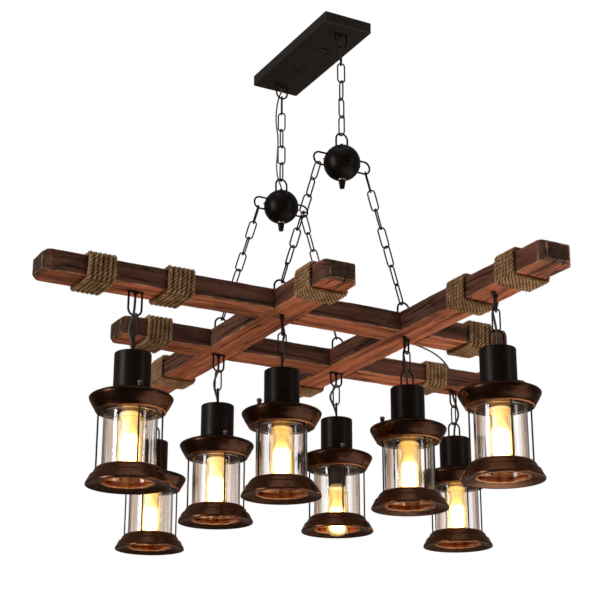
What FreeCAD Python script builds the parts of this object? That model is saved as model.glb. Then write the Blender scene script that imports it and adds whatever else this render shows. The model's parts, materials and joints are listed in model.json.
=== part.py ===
import FreeCAD
import Part
import math
import os

# A pendant light for eight lamps. Four hewn timbers cross in a pinwheel, wound with rope,
# and hang by chains from two steel balls under a ceiling plate. A glass lantern hangs by
# one link under each crossing and under each long arm.
# Millimetres. The origin is the middle of the plate's ceiling face and +Z is up.
# +X runs along the front and back timbers, +Y along the left and right ones.

V = FreeCAD.Vector
UP = V(0, 0, 1)
ACROSS = V(1, 0, 0)
BACKWARD = V(0, 1, 0)
OUT = "parts"

# Ceiling plate and what it holds
canopy_length = 330.0
canopy_width = 110.0
canopy_height = 24.0
canopy_wall = 1.5
canopy_fold_radius = 2.5
hook_spread = 264.0
stud_spread = 116.0
stud_diameter = 5.0
stud_clearance = 0.4
crossbar_length = 190.0
crossbar_width = 22.0
crossbar_thickness = 2.5
ceiling_screw_spread = 84.0
ceiling_screw_hole = 5.2
cap_nut_diameter = 13.0
cap_nut_height = 9.0
cap_nut_crown_share = 0.62
terminal_length = 34.0
terminal_width = 18.0
terminal_height = 13.0
terminal_poles = 3
terminal_screw_diameter = 4.0
terminal_screw_height = 1.6

# Wire eyes: a bent U on a strip, with a hex nipple in its middle
eye_wire = 4.0
eye_width = 30.5
eye_strip_overhang = 1.0
eye_strip_width = 9.0
eye_strip_thickness = 2.0
nipple_diameter = 9.5
nipple_height = 6.5
nipple_tip_share = 0.6
hook_height = 35.0
ball_eye_height = 29.75
frame_eye_height = 38.0
lantern_eye_height = 34.0
lantern_loop_height = 38.0

# Chain
link_wire = 3.2
link_length = 47.0
link_width = 18.5
upper_link_count = 5
lower_link_count = 7
contact_gap = 0.3
bar_sides = 6
bend_flats = 5

# Balls
ball_diameter = 75.5
washer_diameter = 17.0
washer_thickness = 1.6
plug_top_diameter = 14.0
plug_tip_diameter = 10.0
plug_height = 17.0

# Timber frame
crossing_spacing = 280.0
long_arm = 490.0
short_arm = 230.0
arm_hook_reach = 302.0
beam_width = 71.0
beam_height = 41.0
lap_gap = 0.3
end_cut_along = 13.0
end_cut_across = 10.0
end_slope_along = 7.0
end_slope_down = 5.0
edge_cut = 2.5
wire_hole = 6.0

# Rope windings
rope_diameter = 8.6
rope_turns = 6
rope_turn_gap = 0.5
rope_seat_gap = 0.3
hook_to_outer_wrap = 35.15
hook_to_inner_wrap = 23.15
wrap_short_reach = 152.0

# Lantern
sheet = 1.2
cup_diameter = 67.0
cup_height = 67.0
cup_edge = 1.5
cap_diameter = 150.5
cap_height = 43.0
cap_seat_width = 9.0
cap_mouth_diameter = 51.0
rod_diameter = 3.2
rod_circle = 117.0
rod_length = 98.0
ring_diameter = 150.0
ring_height = 32.5
ring_recess = 5.0
ring_rim = 2.5
glass_diameter = 96.0
glass_wall = 2.2
glass_gap = 0.3
glass_side_gap = 1.0
seat_lip = 1.0
nut_diameter = 10.0
nut_height = 9.0
tube_diameter = 10.0
tube_length = 45.0
holder_diameter = 38.0
holder_height = 57.0
holder_wall = 4.0
screw_cap_diameter = 26.4
screw_cap_height = 27.0
bulb_diameter = 46.0
bulb_length = 106.0
bulb_neck_diameter = 27.0
bulb_wall = 1.2
low_lamp_drop = 39.0

# Wires
lead_diameter = 4.6
lead_pass = 7.5
supply_diameter = 3.4
supply_reach = 14.0
feed_diameter = 3.5
feed_rise = 15.0
feed_start_inside = 3.0
feed_start_front = 4.0
feed_end_outside = 10.0
feed_end_inside = 16.0
arc_reach_share = 0.45

# Outlines, as shares of the radius and the height that they follow
cap_outline_shares = (
    (0.700, 0.130), (0.885, 0.240), (0.897, 0.285), (0.950, 0.285), (1.000, 0.372),
    (0.993, 0.453), (0.925, 0.686), (0.855, 0.884), (0.828, 1.000),
)
ring_outline_shares = (
    (0.720, 0.000), (0.800, 0.170), (0.843, 0.385), (0.862, 0.420), (0.900, 0.460),
    (0.950, 0.700), (1.000, 0.900), (1.000, 1.000),
)
bulb_outline_shares = (
    (0.62, 0.09), (0.86, 0.15), (1.00, 0.22), (1.00, 0.84), (0.82, 0.94), (0.48, 0.99), (0.00, 1.00),
)

# The supply cord beside its chain: shares of its reach to the side and back, and links down
supply_route_shares = (
    (-0.357, 0.429, 0.00), (-0.786, 0.357, 0.80), (-1.000, 0.071, 1.70), (-0.786, -0.357, 2.60),
    (-0.857, -0.286, 3.50), (-0.786, 0.286, 4.30), (-0.357, 0.429, 4.99),
)
# The feed cord bridges from the right timber's top to the back timber's long arm: shares of
# the way along and back between its two holes, and of its rise over the frame
feed_route_shares = (
    (0.0000, 0.0000, -0.533), (0.0476, 0.0250, 0.400), (0.1302, 0.0500, 0.867),
    (0.2508, 0.1000, 0.867), (0.3841, 0.1781, 0.800), (0.5143, 0.2781, 0.833),
    (0.6286, 0.4000, 0.900), (0.7302, 0.5469, 0.967), (0.8286, 0.7094, 1.000),
    (0.9111, 0.8469, 0.833), (0.9651, 0.9406, 0.333), (1.0000, 1.0000, -0.400),
)

# Turns of the links about their chains, in degrees from the plane of the eye above
upper_near_turns = (-68, 11, -85, -20, 75)
upper_far_turns = (-68, 40, -40, 25, -85)
lower_turns = {
    "near_right": (-60, 50, -40, 15, 75, -25, -80),
    "near_left": (65, -30, 30, 95, 0, 80, -55),
    "far_right": (65, -30, 40, -45, 15, 80, -60),
    "far_left": (-60, 30, 95, 5, 70, -20, -85),
}

# How far out along its arm a lantern hangs, as a share of the arm's hook reach
hook_reach_shares = {"crossing": 0.0, "arm": 1.0, "outer arm": 1.1}

# The eight lanterns, one row each. Turns are in degrees about Z, from X.
# place, timber's turn, eye turn, link turn, loop turn, thumb nut turn,
# longer eye, longer tube, side of the lead, turn of the lead's bulge, bulge of the lead
lantern_shares = (
    ("arm", 0, 2, -65, 61, 262, 0.43, 0, -1, 151, 1.2),
    ("outer arm", 270, -8, 82, -8, 229, 0.30, 0, 1, 172, 1.0),
    ("crossing", 270, 10, -62, 61, 261, 0.17, 0, -1, 151, 1.2),
    ("crossing", 0, 61, -28, 61, 197, 0.12, 0, -1, -118, 1.0),
    ("crossing", 180, 0, -62, 61, 252, 0.00, 1, -1, 151, 2.1),
    ("crossing", 90, 38, -60, -6, 179, 0.00, 0, -1, -150, 1.0),
    ("arm", 90, 46, -60, -15, 343, 0.03, 0, -1, -150, 1.0),
    ("arm", 180, 27, 90, -8, 80, 0.17, 0, -1, -29, 1.6),
)


# Sizes worked out from the ones above
half_crossing = crossing_spacing / 2
eye_bend = (eye_width - eye_wire) / 2
link_bend = (link_width - link_wire) / 2
link_reach = link_length - link_wire
eye_contact = (eye_wire + link_wire) / 2 + contact_gap
link_step = link_reach - link_wire - contact_gap
ball_radius = ball_diameter / 2
rope_pitch = rope_diameter + rope_turn_gap
wrap_room = eye_width / 2 + eye_strip_overhang + (rope_turns * rope_pitch + rope_diameter) / 2
wrap_outer_reach = arm_hook_reach + hook_to_outer_wrap + wrap_room
wrap_inner_reach = arm_hook_reach - hook_to_inner_wrap - wrap_room


def chain_span(count):
    """Distance between the wires of the two eyes that a chain joins."""
    return link_reach + (count - 1) * link_step - 2 * eye_contact


upper_hook_z = -canopy_height - hook_height + eye_wire / 2
ball_eye_z = upper_hook_z - chain_span(upper_link_count)
ball_z = ball_eye_z + eye_wire / 2 - ball_eye_height - ball_radius
side_bend_x = ball_radius + ball_eye_height - eye_wire / 2 - eye_bend
lower_run = chain_span(lower_link_count) + 2 * eye_bend
lower_spread = half_crossing - side_bend_x
lower_drop = math.sqrt(lower_run ** 2 - lower_spread ** 2)
frame_top = ball_z - lower_drop + eye_bend + eye_wire / 2 - frame_eye_height
frame_under = frame_top - beam_height
lantern_hook_z = frame_under - lantern_eye_height + eye_wire / 2
link_low_z = lantern_hook_z + eye_contact - link_reach
cup_top = link_low_z + eye_contact + eye_wire / 2 - lantern_loop_height
cup_foot = cup_top - cup_height
cap_foot = cup_foot - cap_height
ring_top = cap_foot - rod_length
ring_foot = ring_top - ring_height
glass_seat = ring_foot + ring_recess + sheet


def turned(vector, degrees):
    """A vector turned about Z."""
    angle = math.radians(degrees)
    x = vector.x * math.cos(angle) - vector.y * math.sin(angle)
    y = vector.x * math.sin(angle) + vector.y * math.cos(angle)
    return V(x, y, vector.z)


def unit(vector):
    return vector / vector.Length


def solid_of(faces):
    solid = Part.Solid(Part.Shell(faces))
    if solid.Volume < 0:
        solid.reverse()
    return solid


def flat_face(points):
    return Part.Face(Part.makePolygon(list(points) + [points[0]]))


def skin(rings, closed=False):
    """A solid whose side faces join each ring of points to the next."""
    faces = []
    pairs = list(zip(rings, rings[1:]))
    if closed:
        pairs.append((rings[-1], rings[0]))
    else:
        faces += [flat_face(rings[0]), flat_face(rings[-1])]
    for low, high in pairs:
        for i in range(len(low)):
            j = (i + 1) % len(low)
            faces.append(flat_face([low[i], low[j], high[j], high[i]]))
    return solid_of(faces)


def section(centre, along, up, diameter):
    """Corners of a many-sided section across a bar."""
    side = unit(along.cross(up))
    rise = unit(side.cross(along))
    corners = []
    for i in range(bar_sides):
        angle = 2 * math.pi * (i + 0.5) / bar_sides
        offset = rise * math.cos(angle) + side * math.sin(angle)
        corners.append(centre + offset * (diameter / 2))
    return corners


def slid(points, along, centre, normal):
    """Points moved along a direction on to a plane."""
    reach = along.dot(normal)
    return [p + along * ((centre - p).dot(normal) / reach) for p in points]


def bent_bar(path, up, diameter, closed=False):
    """A bar with mitred bends along a path; up is the normal of its first run."""
    count = len(path)
    runs = [unit(path[(i + 1) % count] - path[i]) for i in range(count)]
    ring = section(path[0], runs[0], up, diameter)
    if closed:
        ring = slid(ring, runs[0], path[0], runs[-1] + runs[0])
    rings = [ring]
    last = count if closed else count - 1
    for i in range(1, last):
        ring = slid(ring, runs[i - 1], path[i], runs[i - 1] + runs[i])
        rings.append(ring)
    if not closed:
        rings.append(slid(ring, runs[count - 2], path[-1], runs[count - 2]))
    return skin(rings, closed)


def bend_points(radius, start_angle):
    """Corners of a half-circle bend drawn by its tangents."""
    step = math.pi / (bend_flats + 1)
    reach = radius / math.cos(step / 2)
    corners = []
    for i in range(bend_flats + 1):
        angle = start_angle + step * (i + 0.5)
        corners.append((reach * math.cos(angle), reach * math.sin(angle)))
    return corners


def link(centre, along, side):
    """One chain link: a closed oval of wire."""
    straight = link_reach / 2 - link_bend
    flat = [(s, t + straight) for s, t in bend_points(link_bend, 0)]
    flat += [(s, t - straight) for s, t in bend_points(link_bend, math.pi)]
    path = [centre + side * s + along * t for s, t in flat]
    return bent_bar(path, side.cross(along), link_wire, closed=True)


def chain(start, end, turns, in_plane):
    """Links from the wire at start to the wire at end."""
    along = unit(end - start)
    other = along.cross(in_plane)
    top = start - along * eye_contact
    links = []
    for turn in turns:
        angle = math.radians(turn)
        side = in_plane * math.cos(angle) + other * math.sin(angle)
        links.append(link(top + along * (link_reach / 2), along, side))
        top = top + along * link_step
    return links


def nipple(foot, along, side):
    """Hex nipple: a nut with a narrower tip."""
    shoulder = foot + along * (nipple_height / 2)
    tip = foot + along * nipple_height
    return skin([
        section(foot, along, side, nipple_diameter),
        section(shoulder, along, side, nipple_diameter),
        section(tip, along, side, nipple_diameter * nipple_tip_share),
    ])


def wire_eye(foot, along, side, height, strip=True):
    """A U of wire standing on a surface at foot, with its strip and its nipple."""
    other = side.cross(along)
    seat = eye_strip_thickness if strip else 0
    centre = height - eye_wire / 2 - eye_bend
    flat = [(eye_bend, seat)]
    flat += [(s, t + centre) for s, t in bend_points(eye_bend, 0)]
    flat += [(-eye_bend, seat)]
    path = [foot + side * s + along * t for s, t in flat]
    pieces = [bent_bar(path, other, eye_wire)]
    if strip:
        half = eye_width / 2 + eye_strip_overhang
        wide = eye_strip_width / 2
        corners = [(-half, -wide), (half, -wide), (half, wide), (-half, wide)]
        low = [foot + side * s + other * w for s, w in corners]
        high = [p + along * seat for p in low]
        pieces.append(skin([low, high]))
    pieces.append(nipple(foot + along * seat, along, side))
    return pieces


def cylinder(diameter, height, foot, along=UP):
    return Part.makeCylinder(diameter / 2, height, foot, along)


def turned_solid(points):
    """A solid of revolution about Z from (radius, height) points."""
    profile = Part.Face(Part.makePolygon([V(r, 0, z) for r, z in points + [points[0]]]))
    return profile.revolve(V(0, 0, 0), UP, 360)


def sheet_points(line, thickness):
    """A line of (radius, height) points thickened to its right."""
    shifted = []
    for i, (r, z) in enumerate(line):
        normals = []
        for a, b in ((i - 1, i), (i, i + 1)):
            if a >= 0 and b < len(line):
                dr = line[b][0] - line[a][0]
                dz = line[b][1] - line[a][1]
                length = math.hypot(dr, dz)
                normals.append((dz / length, -dr / length))
        first, last = normals[0], normals[-1]
        mid = (first[0] + last[0], first[1] + last[1])
        scale = thickness / (mid[0] * first[0] + mid[1] * first[1])
        shifted.append((r + mid[0] * scale, z + mid[1] * scale))
    return line + shifted[::-1]


def box(low, high):
    size = high - low
    return Part.makeBox(size.x, size.y, size.z, low)


def at_turn(shape, degrees):
    copy = shape.copy()
    copy.rotate(V(0, 0, 0), UP, degrees)
    return copy


def save(name, solids):
    shape = Part.Compound(solids) if len(solids) > 1 else solids[0]
    shape.exportStep(os.path.join(OUT, name + ".step"))
    valid = all(s.isValid() and s.Volume > 0 for s in solids)
    print(name, len(solids), "solids", "valid" if valid else "NOT VALID")


# Ceiling plate

def ceiling_plate():
    half = V(canopy_width / 2, canopy_length / 2, 0)
    shell = box(V(-half.x, -half.y, -canopy_height), V(half.x, half.y, 0))
    low_edges = [e for e in shell.Edges if e.CenterOfMass.z < -canopy_height / 2]
    shell = shell.makeFillet(canopy_fold_radius, low_edges)
    inner = V(half.x - canopy_wall, half.y - canopy_wall, 0)
    floor = -canopy_height + canopy_wall
    shell = shell.cut(box(V(-inner.x, -inner.y, floor), V(inner.x, inner.y, canopy_height)))
    hole = stud_diameter + 2 * stud_clearance
    for sign in (-1, 1):
        foot = V(0, sign * stud_spread / 2, -2 * canopy_height)
        shell = shell.cut(cylinder(hole, 2 * canopy_height, foot))
    return shell


def ceiling_crossbar():
    half_long = crossbar_length / 2
    half_wide = crossbar_width / 2
    bar = box(V(-half_wide, -half_long, -crossbar_thickness), V(half_wide, half_long, 0))
    for sign in (-1, 1):
        foot = V(0, sign * ceiling_screw_spread / 2, -crossbar_thickness)
        bar = bar.cut(cylinder(ceiling_screw_hole, crossbar_thickness, foot))
    return bar


def studs():
    low = -canopy_height - cap_nut_height * cap_nut_crown_share
    return [
        cylinder(stud_diameter, -crossbar_thickness - low, V(0, sign * stud_spread / 2, low))
        for sign in (-1, 1)
    ]


def cap_nuts(stud_pair):
    crown = -canopy_height - cap_nut_height * cap_nut_crown_share
    nuts = []
    for sign, stud in zip((-1, 1), stud_pair):
        centre = V(0, sign * stud_spread / 2, 0)
        rings = [
            section(centre + UP * -canopy_height, UP, ACROSS, cap_nut_diameter),
            section(centre + UP * crown, UP, ACROSS, cap_nut_diameter),
            section(centre + UP * (-canopy_height - cap_nut_height), UP, ACROSS, stud_diameter),
        ]
        nuts.append(skin(rings).cut(stud))
    return nuts


def terminal_block():
    floor = -canopy_height + canopy_wall
    low = V(-terminal_width / 2, -terminal_length / 2, floor)
    pieces = [box(low, V(-low.x, -low.y, floor + terminal_height))]
    pitch = terminal_length / terminal_poles
    for i in range(terminal_poles):
        y = (i + 0.5) * pitch - terminal_length / 2
        foot = V(0, y, floor + terminal_height)
        pieces.append(cylinder(terminal_screw_diameter, terminal_screw_height, foot))
    return pieces


# Balls and chains

def ball(sign):
    return Part.makeSphere(ball_radius, V(0, sign * hook_spread / 2, ball_z))


def ball_fittings(sign, sphere):
    centre = V(0, sign * hook_spread / 2, ball_z)
    pieces = []
    for along, side in ((UP, ACROSS), (ACROSS, UP), (-ACROSS, UP)):
        for piece in wire_eye(centre, along, side, ball_radius + ball_eye_height, strip=False)[:1]:
            pieces.append(piece.cut(sphere))
        foot = centre + along * ball_radius
        pieces.append(nipple(foot - along * (nipple_height / 2), along, side).cut(sphere))
    return pieces


def ball_finial(sign, sphere):
    centre = V(0, sign * hook_spread / 2, ball_z)
    dip = ball_radius - math.sqrt(ball_radius ** 2 - (washer_diameter / 2) ** 2)
    top = centre - UP * (ball_radius - dip)
    foot = centre - UP * (ball_radius + washer_thickness)
    height = (top - foot).Length
    washer = cylinder(washer_diameter, height, foot).cut(sphere)
    tip = foot - UP * plug_height
    plug = Part.makeCone(plug_tip_diameter / 2, plug_top_diameter / 2, plug_height, tip)
    return [washer, plug]


def lower_chain(row, side_sign, turns):
    y = row * hook_spread / 2
    ball_bend = V(side_sign * side_bend_x, y, ball_z)
    frame_bend = V(side_sign * half_crossing, y, ball_z - lower_drop)
    along = unit(frame_bend - ball_bend)
    start = ball_bend + along * eye_bend
    end = frame_bend - along * eye_bend
    return chain(start, end, turns, unit(BACKWARD.cross(along)))


def upper_chain(sign, turns):
    y = sign * hook_spread / 2
    return chain(V(0, y, upper_hook_z), V(0, y, ball_eye_z), turns, ACROSS)


# Timber frame

def timber(notch_under):
    """The front timber, or the same with its laps on top, along X."""
    left = -half_crossing - long_arm
    right = half_crossing + short_arm
    half = beam_width / 2
    y = -half_crossing
    plan = [
        V(left, y - half + end_cut_across, 0), V(left + end_cut_along, y - half, 0),
        V(right - end_cut_along, y - half, 0), V(right, y - half + end_cut_across, 0),
        V(right, y + half - end_cut_across, 0), V(right - end_cut_along, y + half, 0),
        V(left + end_cut_along, y + half, 0), V(left, y + half - end_cut_across, 0),
    ]
    body = flat_face([p + UP * frame_under for p in plan]).extrude(UP * beam_height)
    elevation = [
        V(left, 0, frame_under + end_slope_down), V(left + end_slope_along, 0, frame_under),
        V(right - end_slope_along, 0, frame_under), V(right, 0, frame_under + end_slope_down),
        V(right, 0, frame_top - end_slope_down), V(right - end_slope_along, 0, frame_top),
        V(left + end_slope_along, 0, frame_top), V(left, 0, frame_top - end_slope_down),
    ]
    side = flat_face([p + BACKWARD * (y - half) for p in elevation]).extrude(BACKWARD * beam_width)
    cross = [
        V(left, y - half + edge_cut, frame_under), V(left, y + half - edge_cut, frame_under),
        V(left, y + half, frame_under + edge_cut), V(left, y + half, frame_top - edge_cut),
        V(left, y + half - edge_cut, frame_top), V(left, y - half + edge_cut, frame_top),
        V(left, y - half, frame_top - edge_cut), V(left, y - half, frame_under + edge_cut),
    ]
    section_bar = flat_face(cross).extrude(ACROSS * (right - left))
    body = body.common(side).common(section_bar)
    middle = frame_under + beam_height / 2
    low, high = (frame_under, middle) if notch_under else (middle, frame_top)
    wide = half + lap_gap
    for x in (-half_crossing, half_crossing):
        body = body.cut(box(V(x - wide, y - half, low), V(x + wide, y + half, high)))
    return body


def rope_winding(centre_x):
    """One unbroken winding of rope round the front timber, about X."""
    y = -half_crossing
    middle = frame_under + beam_height / 2
    out = rope_seat_gap + rope_diameter / 2
    wide = beam_width / 2 + out
    tall = beam_height / 2 + out
    corner = edge_cut + out * (2 - math.sqrt(2))
    round_path = [
        (0, tall), (wide - corner, tall), (wide, tall - corner), (wide, corner - tall),
        (wide - corner, -tall), (corner - wide, -tall), (-wide, corner - tall),
        (-wide, tall - corner), (corner - wide, tall),
    ]
    lengths = [math.dist(a, b) for a, b in zip(round_path, round_path[1:] + round_path[:1])]
    girth = sum(lengths)
    start = centre_x - rope_turns * rope_pitch / 2
    path = []
    travelled = 0
    for turn in range(rope_turns):
        for (dy, dz), length in zip(round_path, lengths):
            path.append(V(start + rope_pitch * travelled / girth, y + dy, middle + dz))
            travelled += length
    path.append(V(start + rope_pitch * travelled / girth, y, middle + tall))
    # The joint of two turns on the top face is on a straight run, so it adds no corner
    path = [p for i, p in enumerate(path) if i in (0, len(path) - 1) or i % len(round_path)]
    return bent_bar(path, ACROSS, rope_diameter), path


def least_gap(path):
    """Least clear distance between the turns of one winding."""
    points = []
    for a, b in zip(path, path[1:]):
        steps = max(1, int((b - a).Length / rope_diameter))
        points += [a + (b - a) * (i / steps) for i in range(steps)]
    gaps = []
    for p in points:
        for a, b in zip(path, path[1:]):
            run = b - a
            share = max(0, min(1, (p - a).dot(run) / run.dot(run)))
            near = a + run * share
            if abs(near.x - p.x) > rope_diameter / 2:
                gaps.append((near - p).Length - rope_diameter)
    return min(gaps)


# Lanterns

def hang_point(place, beam_turn):
    reach = half_crossing + arm_hook_reach * hook_reach_shares[place]
    return turned(V(-reach, -half_crossing, 0), beam_turn)


def lantern_cup():
    outer = cup_diameter / 2
    return turned_solid([
        (tube_diameter / 2, cup_top), (outer - cup_edge, cup_top), (outer, cup_top - cup_edge),
        (outer, cup_foot), (outer - sheet, cup_foot), (outer - sheet, cup_top - cup_edge),
        (outer - cup_edge, cup_top - sheet), (tube_diameter / 2, cup_top - sheet),
    ])


def cap_line():
    radius = cap_diameter / 2
    seat_out = cup_diameter / 2 + sheet
    line = [(seat_out - cap_seat_width, cup_foot), (seat_out, cup_foot)]
    line += [(r * radius, cup_foot - z * cap_height) for r, z in cap_outline_shares]
    line.append((cap_mouth_diameter / 2, cap_foot))
    return line


def ring_line():
    radius = ring_diameter / 2
    line = [(glass_diameter / 2 + glass_side_gap, ring_top)]
    line += [(r * radius, ring_top - z * ring_height) for r, z in ring_outline_shares]
    line += [
        (radius - ring_rim, ring_foot),
        (glass_diameter / 2 + glass_side_gap, ring_foot + ring_recess),
        (glass_diameter / 2 - glass_wall - seat_lip, ring_foot + ring_recess),
    ]
    return line


def lantern_rods(nut_turn):
    envelope_line = [(r, z) for r, z in ring_line() if z > ring_foot + ring_recess / 2]
    top = envelope_line[:len(ring_outline_shares)]
    envelope = turned_solid([(0, ring_top)] + top + [(0, top[-1][1])])
    rods = []
    for k in range(4):
        centre = turned(V(rod_circle / 2, 0, 0), nut_turn + 90 * k)
        low = ring_top - ring_height / 2
        path = [centre + UP * cap_foot, centre + UP * low]
        rod = bent_bar(path, centre, rod_diameter)
        rods.append(rod.cut(envelope))
    return rods


def cap_top_at(radius):
    """Height of the cap's upper face at a radius."""
    line = cap_line()
    for (r0, z0), (r1, z1) in zip(line, line[1:]):
        if r0 <= radius <= r1:
            return z0 + (z1 - z0) * (radius - r0) / (r1 - r0)


def thumb_nut(nut_turn, cap):
    centre = turned(V(rod_circle / 2, 0, 0), nut_turn)
    foot = cap_top_at(rod_circle / 2 + nut_diameter / 2)
    top = cap_top_at(rod_circle / 2) + nut_height
    shoulder = top - nut_height / 2
    rings = [
        section(centre + UP * foot, UP, ACROSS, nut_diameter),
        section(centre + UP * shoulder, UP, ACROSS, nut_diameter),
        section(centre + UP * top, UP, ACROSS, nut_diameter * nipple_tip_share),
    ]
    solid = skin(rings)
    return solid.cut(cap)


def lamp_holder(drop):
    top = cup_top - sheet
    holder_top = top - tube_length - drop
    tube = cylinder(tube_diameter, tube_length + drop, V(0, 0, holder_top))
    outer = cylinder(holder_diameter, holder_height, V(0, 0, holder_top - holder_height))
    bore = holder_diameter - 2 * holder_wall
    depth = screw_cap_height + holder_wall
    cavity = cylinder(bore, depth, V(0, 0, holder_top - holder_height))
    return tube, outer.cut(cavity), holder_top - holder_height


def bulb(holder_foot):
    neck_top = holder_foot + screw_cap_height
    cap = cylinder(screw_cap_diameter, screw_cap_height, V(0, 0, holder_foot))
    contact = cylinder(tube_diameter, holder_wall, V(0, 0, neck_top))
    lines = []
    for wall in (0, bulb_wall):
        radius = bulb_diameter / 2 - wall
        length = bulb_length - wall
        line = [(bulb_neck_diameter / 2 - wall, holder_foot)]
        line += [(r * radius, holder_foot - z * length) for r, z in bulb_outline_shares]
        lines.append(line)
    return [cap, contact, turned_solid(lines[0] + lines[1][::-1])]


def glass_tube():
    outer = glass_diameter / 2
    top = cap_foot - glass_gap
    foot = glass_seat + glass_gap
    return turned_solid([
        (outer - glass_wall, foot), (outer, foot), (outer, top), (outer - glass_wall, top),
    ])


def lead_path(point, drop, eye_turn, link_turn, loop_turn, side, bulge_turn, bulge_share):
    """Route of a lamp's lead from the eye's nipple to the cup's, beside its link."""
    def beside(turn):
        """Where the lead passes the link and the eye or loop that crosses it."""
        lean = (turn - link_turn + 90) % 180 - 90
        return point + turned(V(lead_pass, 0, 0), link_turn + lean / 2 + 90 * side)

    bulge = point + turned(V(lead_pass * bulge_share, 0, 0), bulge_turn)
    top = frame_under - eye_strip_thickness - nipple_height
    foot = cup_top + eye_strip_thickness + nipple_height - drop
    high = lantern_hook_z + eye_contact / 2 - drop
    low = link_low_z + eye_contact / 2 - drop
    return [
        point + UP * top,
        point + UP * (top - lead_diameter),
        beside(eye_turn) + UP * high,
        bulge + UP * ((high + low) / 2),
        beside(loop_turn) + UP * low,
        point + UP * (foot + lead_diameter),
        point + UP * foot,
    ]


def supply_path():
    """Route of the supply cord from the plate's far hook to the far ball."""
    far = V(0, hook_spread / 2, 0)
    top = far + UP * (-canopy_height - eye_strip_thickness - nipple_height)
    foot = far + UP * (ball_z + ball_radius + nipple_height / 2)
    first = far + UP * (upper_hook_z + eye_contact)
    beside = [
        first + V(x * supply_reach, y * supply_reach, -links * link_step)
        for x, y, links in supply_route_shares
    ]
    straight = UP * (2 * supply_diameter)
    return [top, top - straight] + beside + [foot + straight, foot]


def feed_path():
    """Route of the feed cord over the frame."""
    start = V(half_crossing - feed_start_inside, -feed_start_front, frame_top)
    end = V(half_crossing + arm_hook_reach + feed_end_outside, half_crossing + feed_end_inside, frame_top)
    return [
        start + V((end.x - start.x) * x, (end.y - start.y) * y, feed_rise * z)
        for x, y, z in feed_route_shares
    ]


def feed_hole(end, before):
    """Slanted hole that takes an end of the feed cord, with its floor square to the cord."""
    return cylinder(wire_hole, (before - end).Length, end, before - end)


def tangent_arcs(points, name):
    """A wire of straight runs joined by arcs as large as the runs allow."""
    edges = []
    last = points[0]
    length = 0
    radii = []
    for before, corner, after in zip(points, points[1:], points[2:]):
        inward = unit(corner - before)
        outward = unit(after - corner)
        half_turn = inward.getAngle(outward) / 2
        reach = arc_reach_share * min((corner - before).Length, (after - corner).Length)
        radius = reach / math.tan(half_turn)
        radii.append(radius)
        start = corner - inward * reach
        end = corner + outward * reach
        middle_way = unit(outward - inward)
        middle = corner + middle_way * (radius / math.cos(half_turn) - radius)
        edges.append(Part.LineSegment(last, start).toShape())
        edges.append(Part.Arc(start, middle, end).toShape())
        length += (start - last).Length + 2 * half_turn * radius
        last = end
    edges.append(Part.LineSegment(last, points[-1]).toShape())
    length += (points[-1] - last).Length
    print(name, "length", round(length, 1), "least radius", round(min(radii), 1))
    return Part.Wire(edges), length


def round_cord(points, diameter, name):
    wire, length = tangent_arcs(points, name)
    along = unit(points[1] - points[0])
    ring = Part.Wire(Part.makeCircle(diameter / 2, points[0], along))
    solid = wire.makePipeShell([ring], True, False)
    expected = math.pi * diameter ** 2 / 4 * length
    print(name, "volume over section times length", round(solid.Volume / expected, 4))
    return solid


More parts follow.
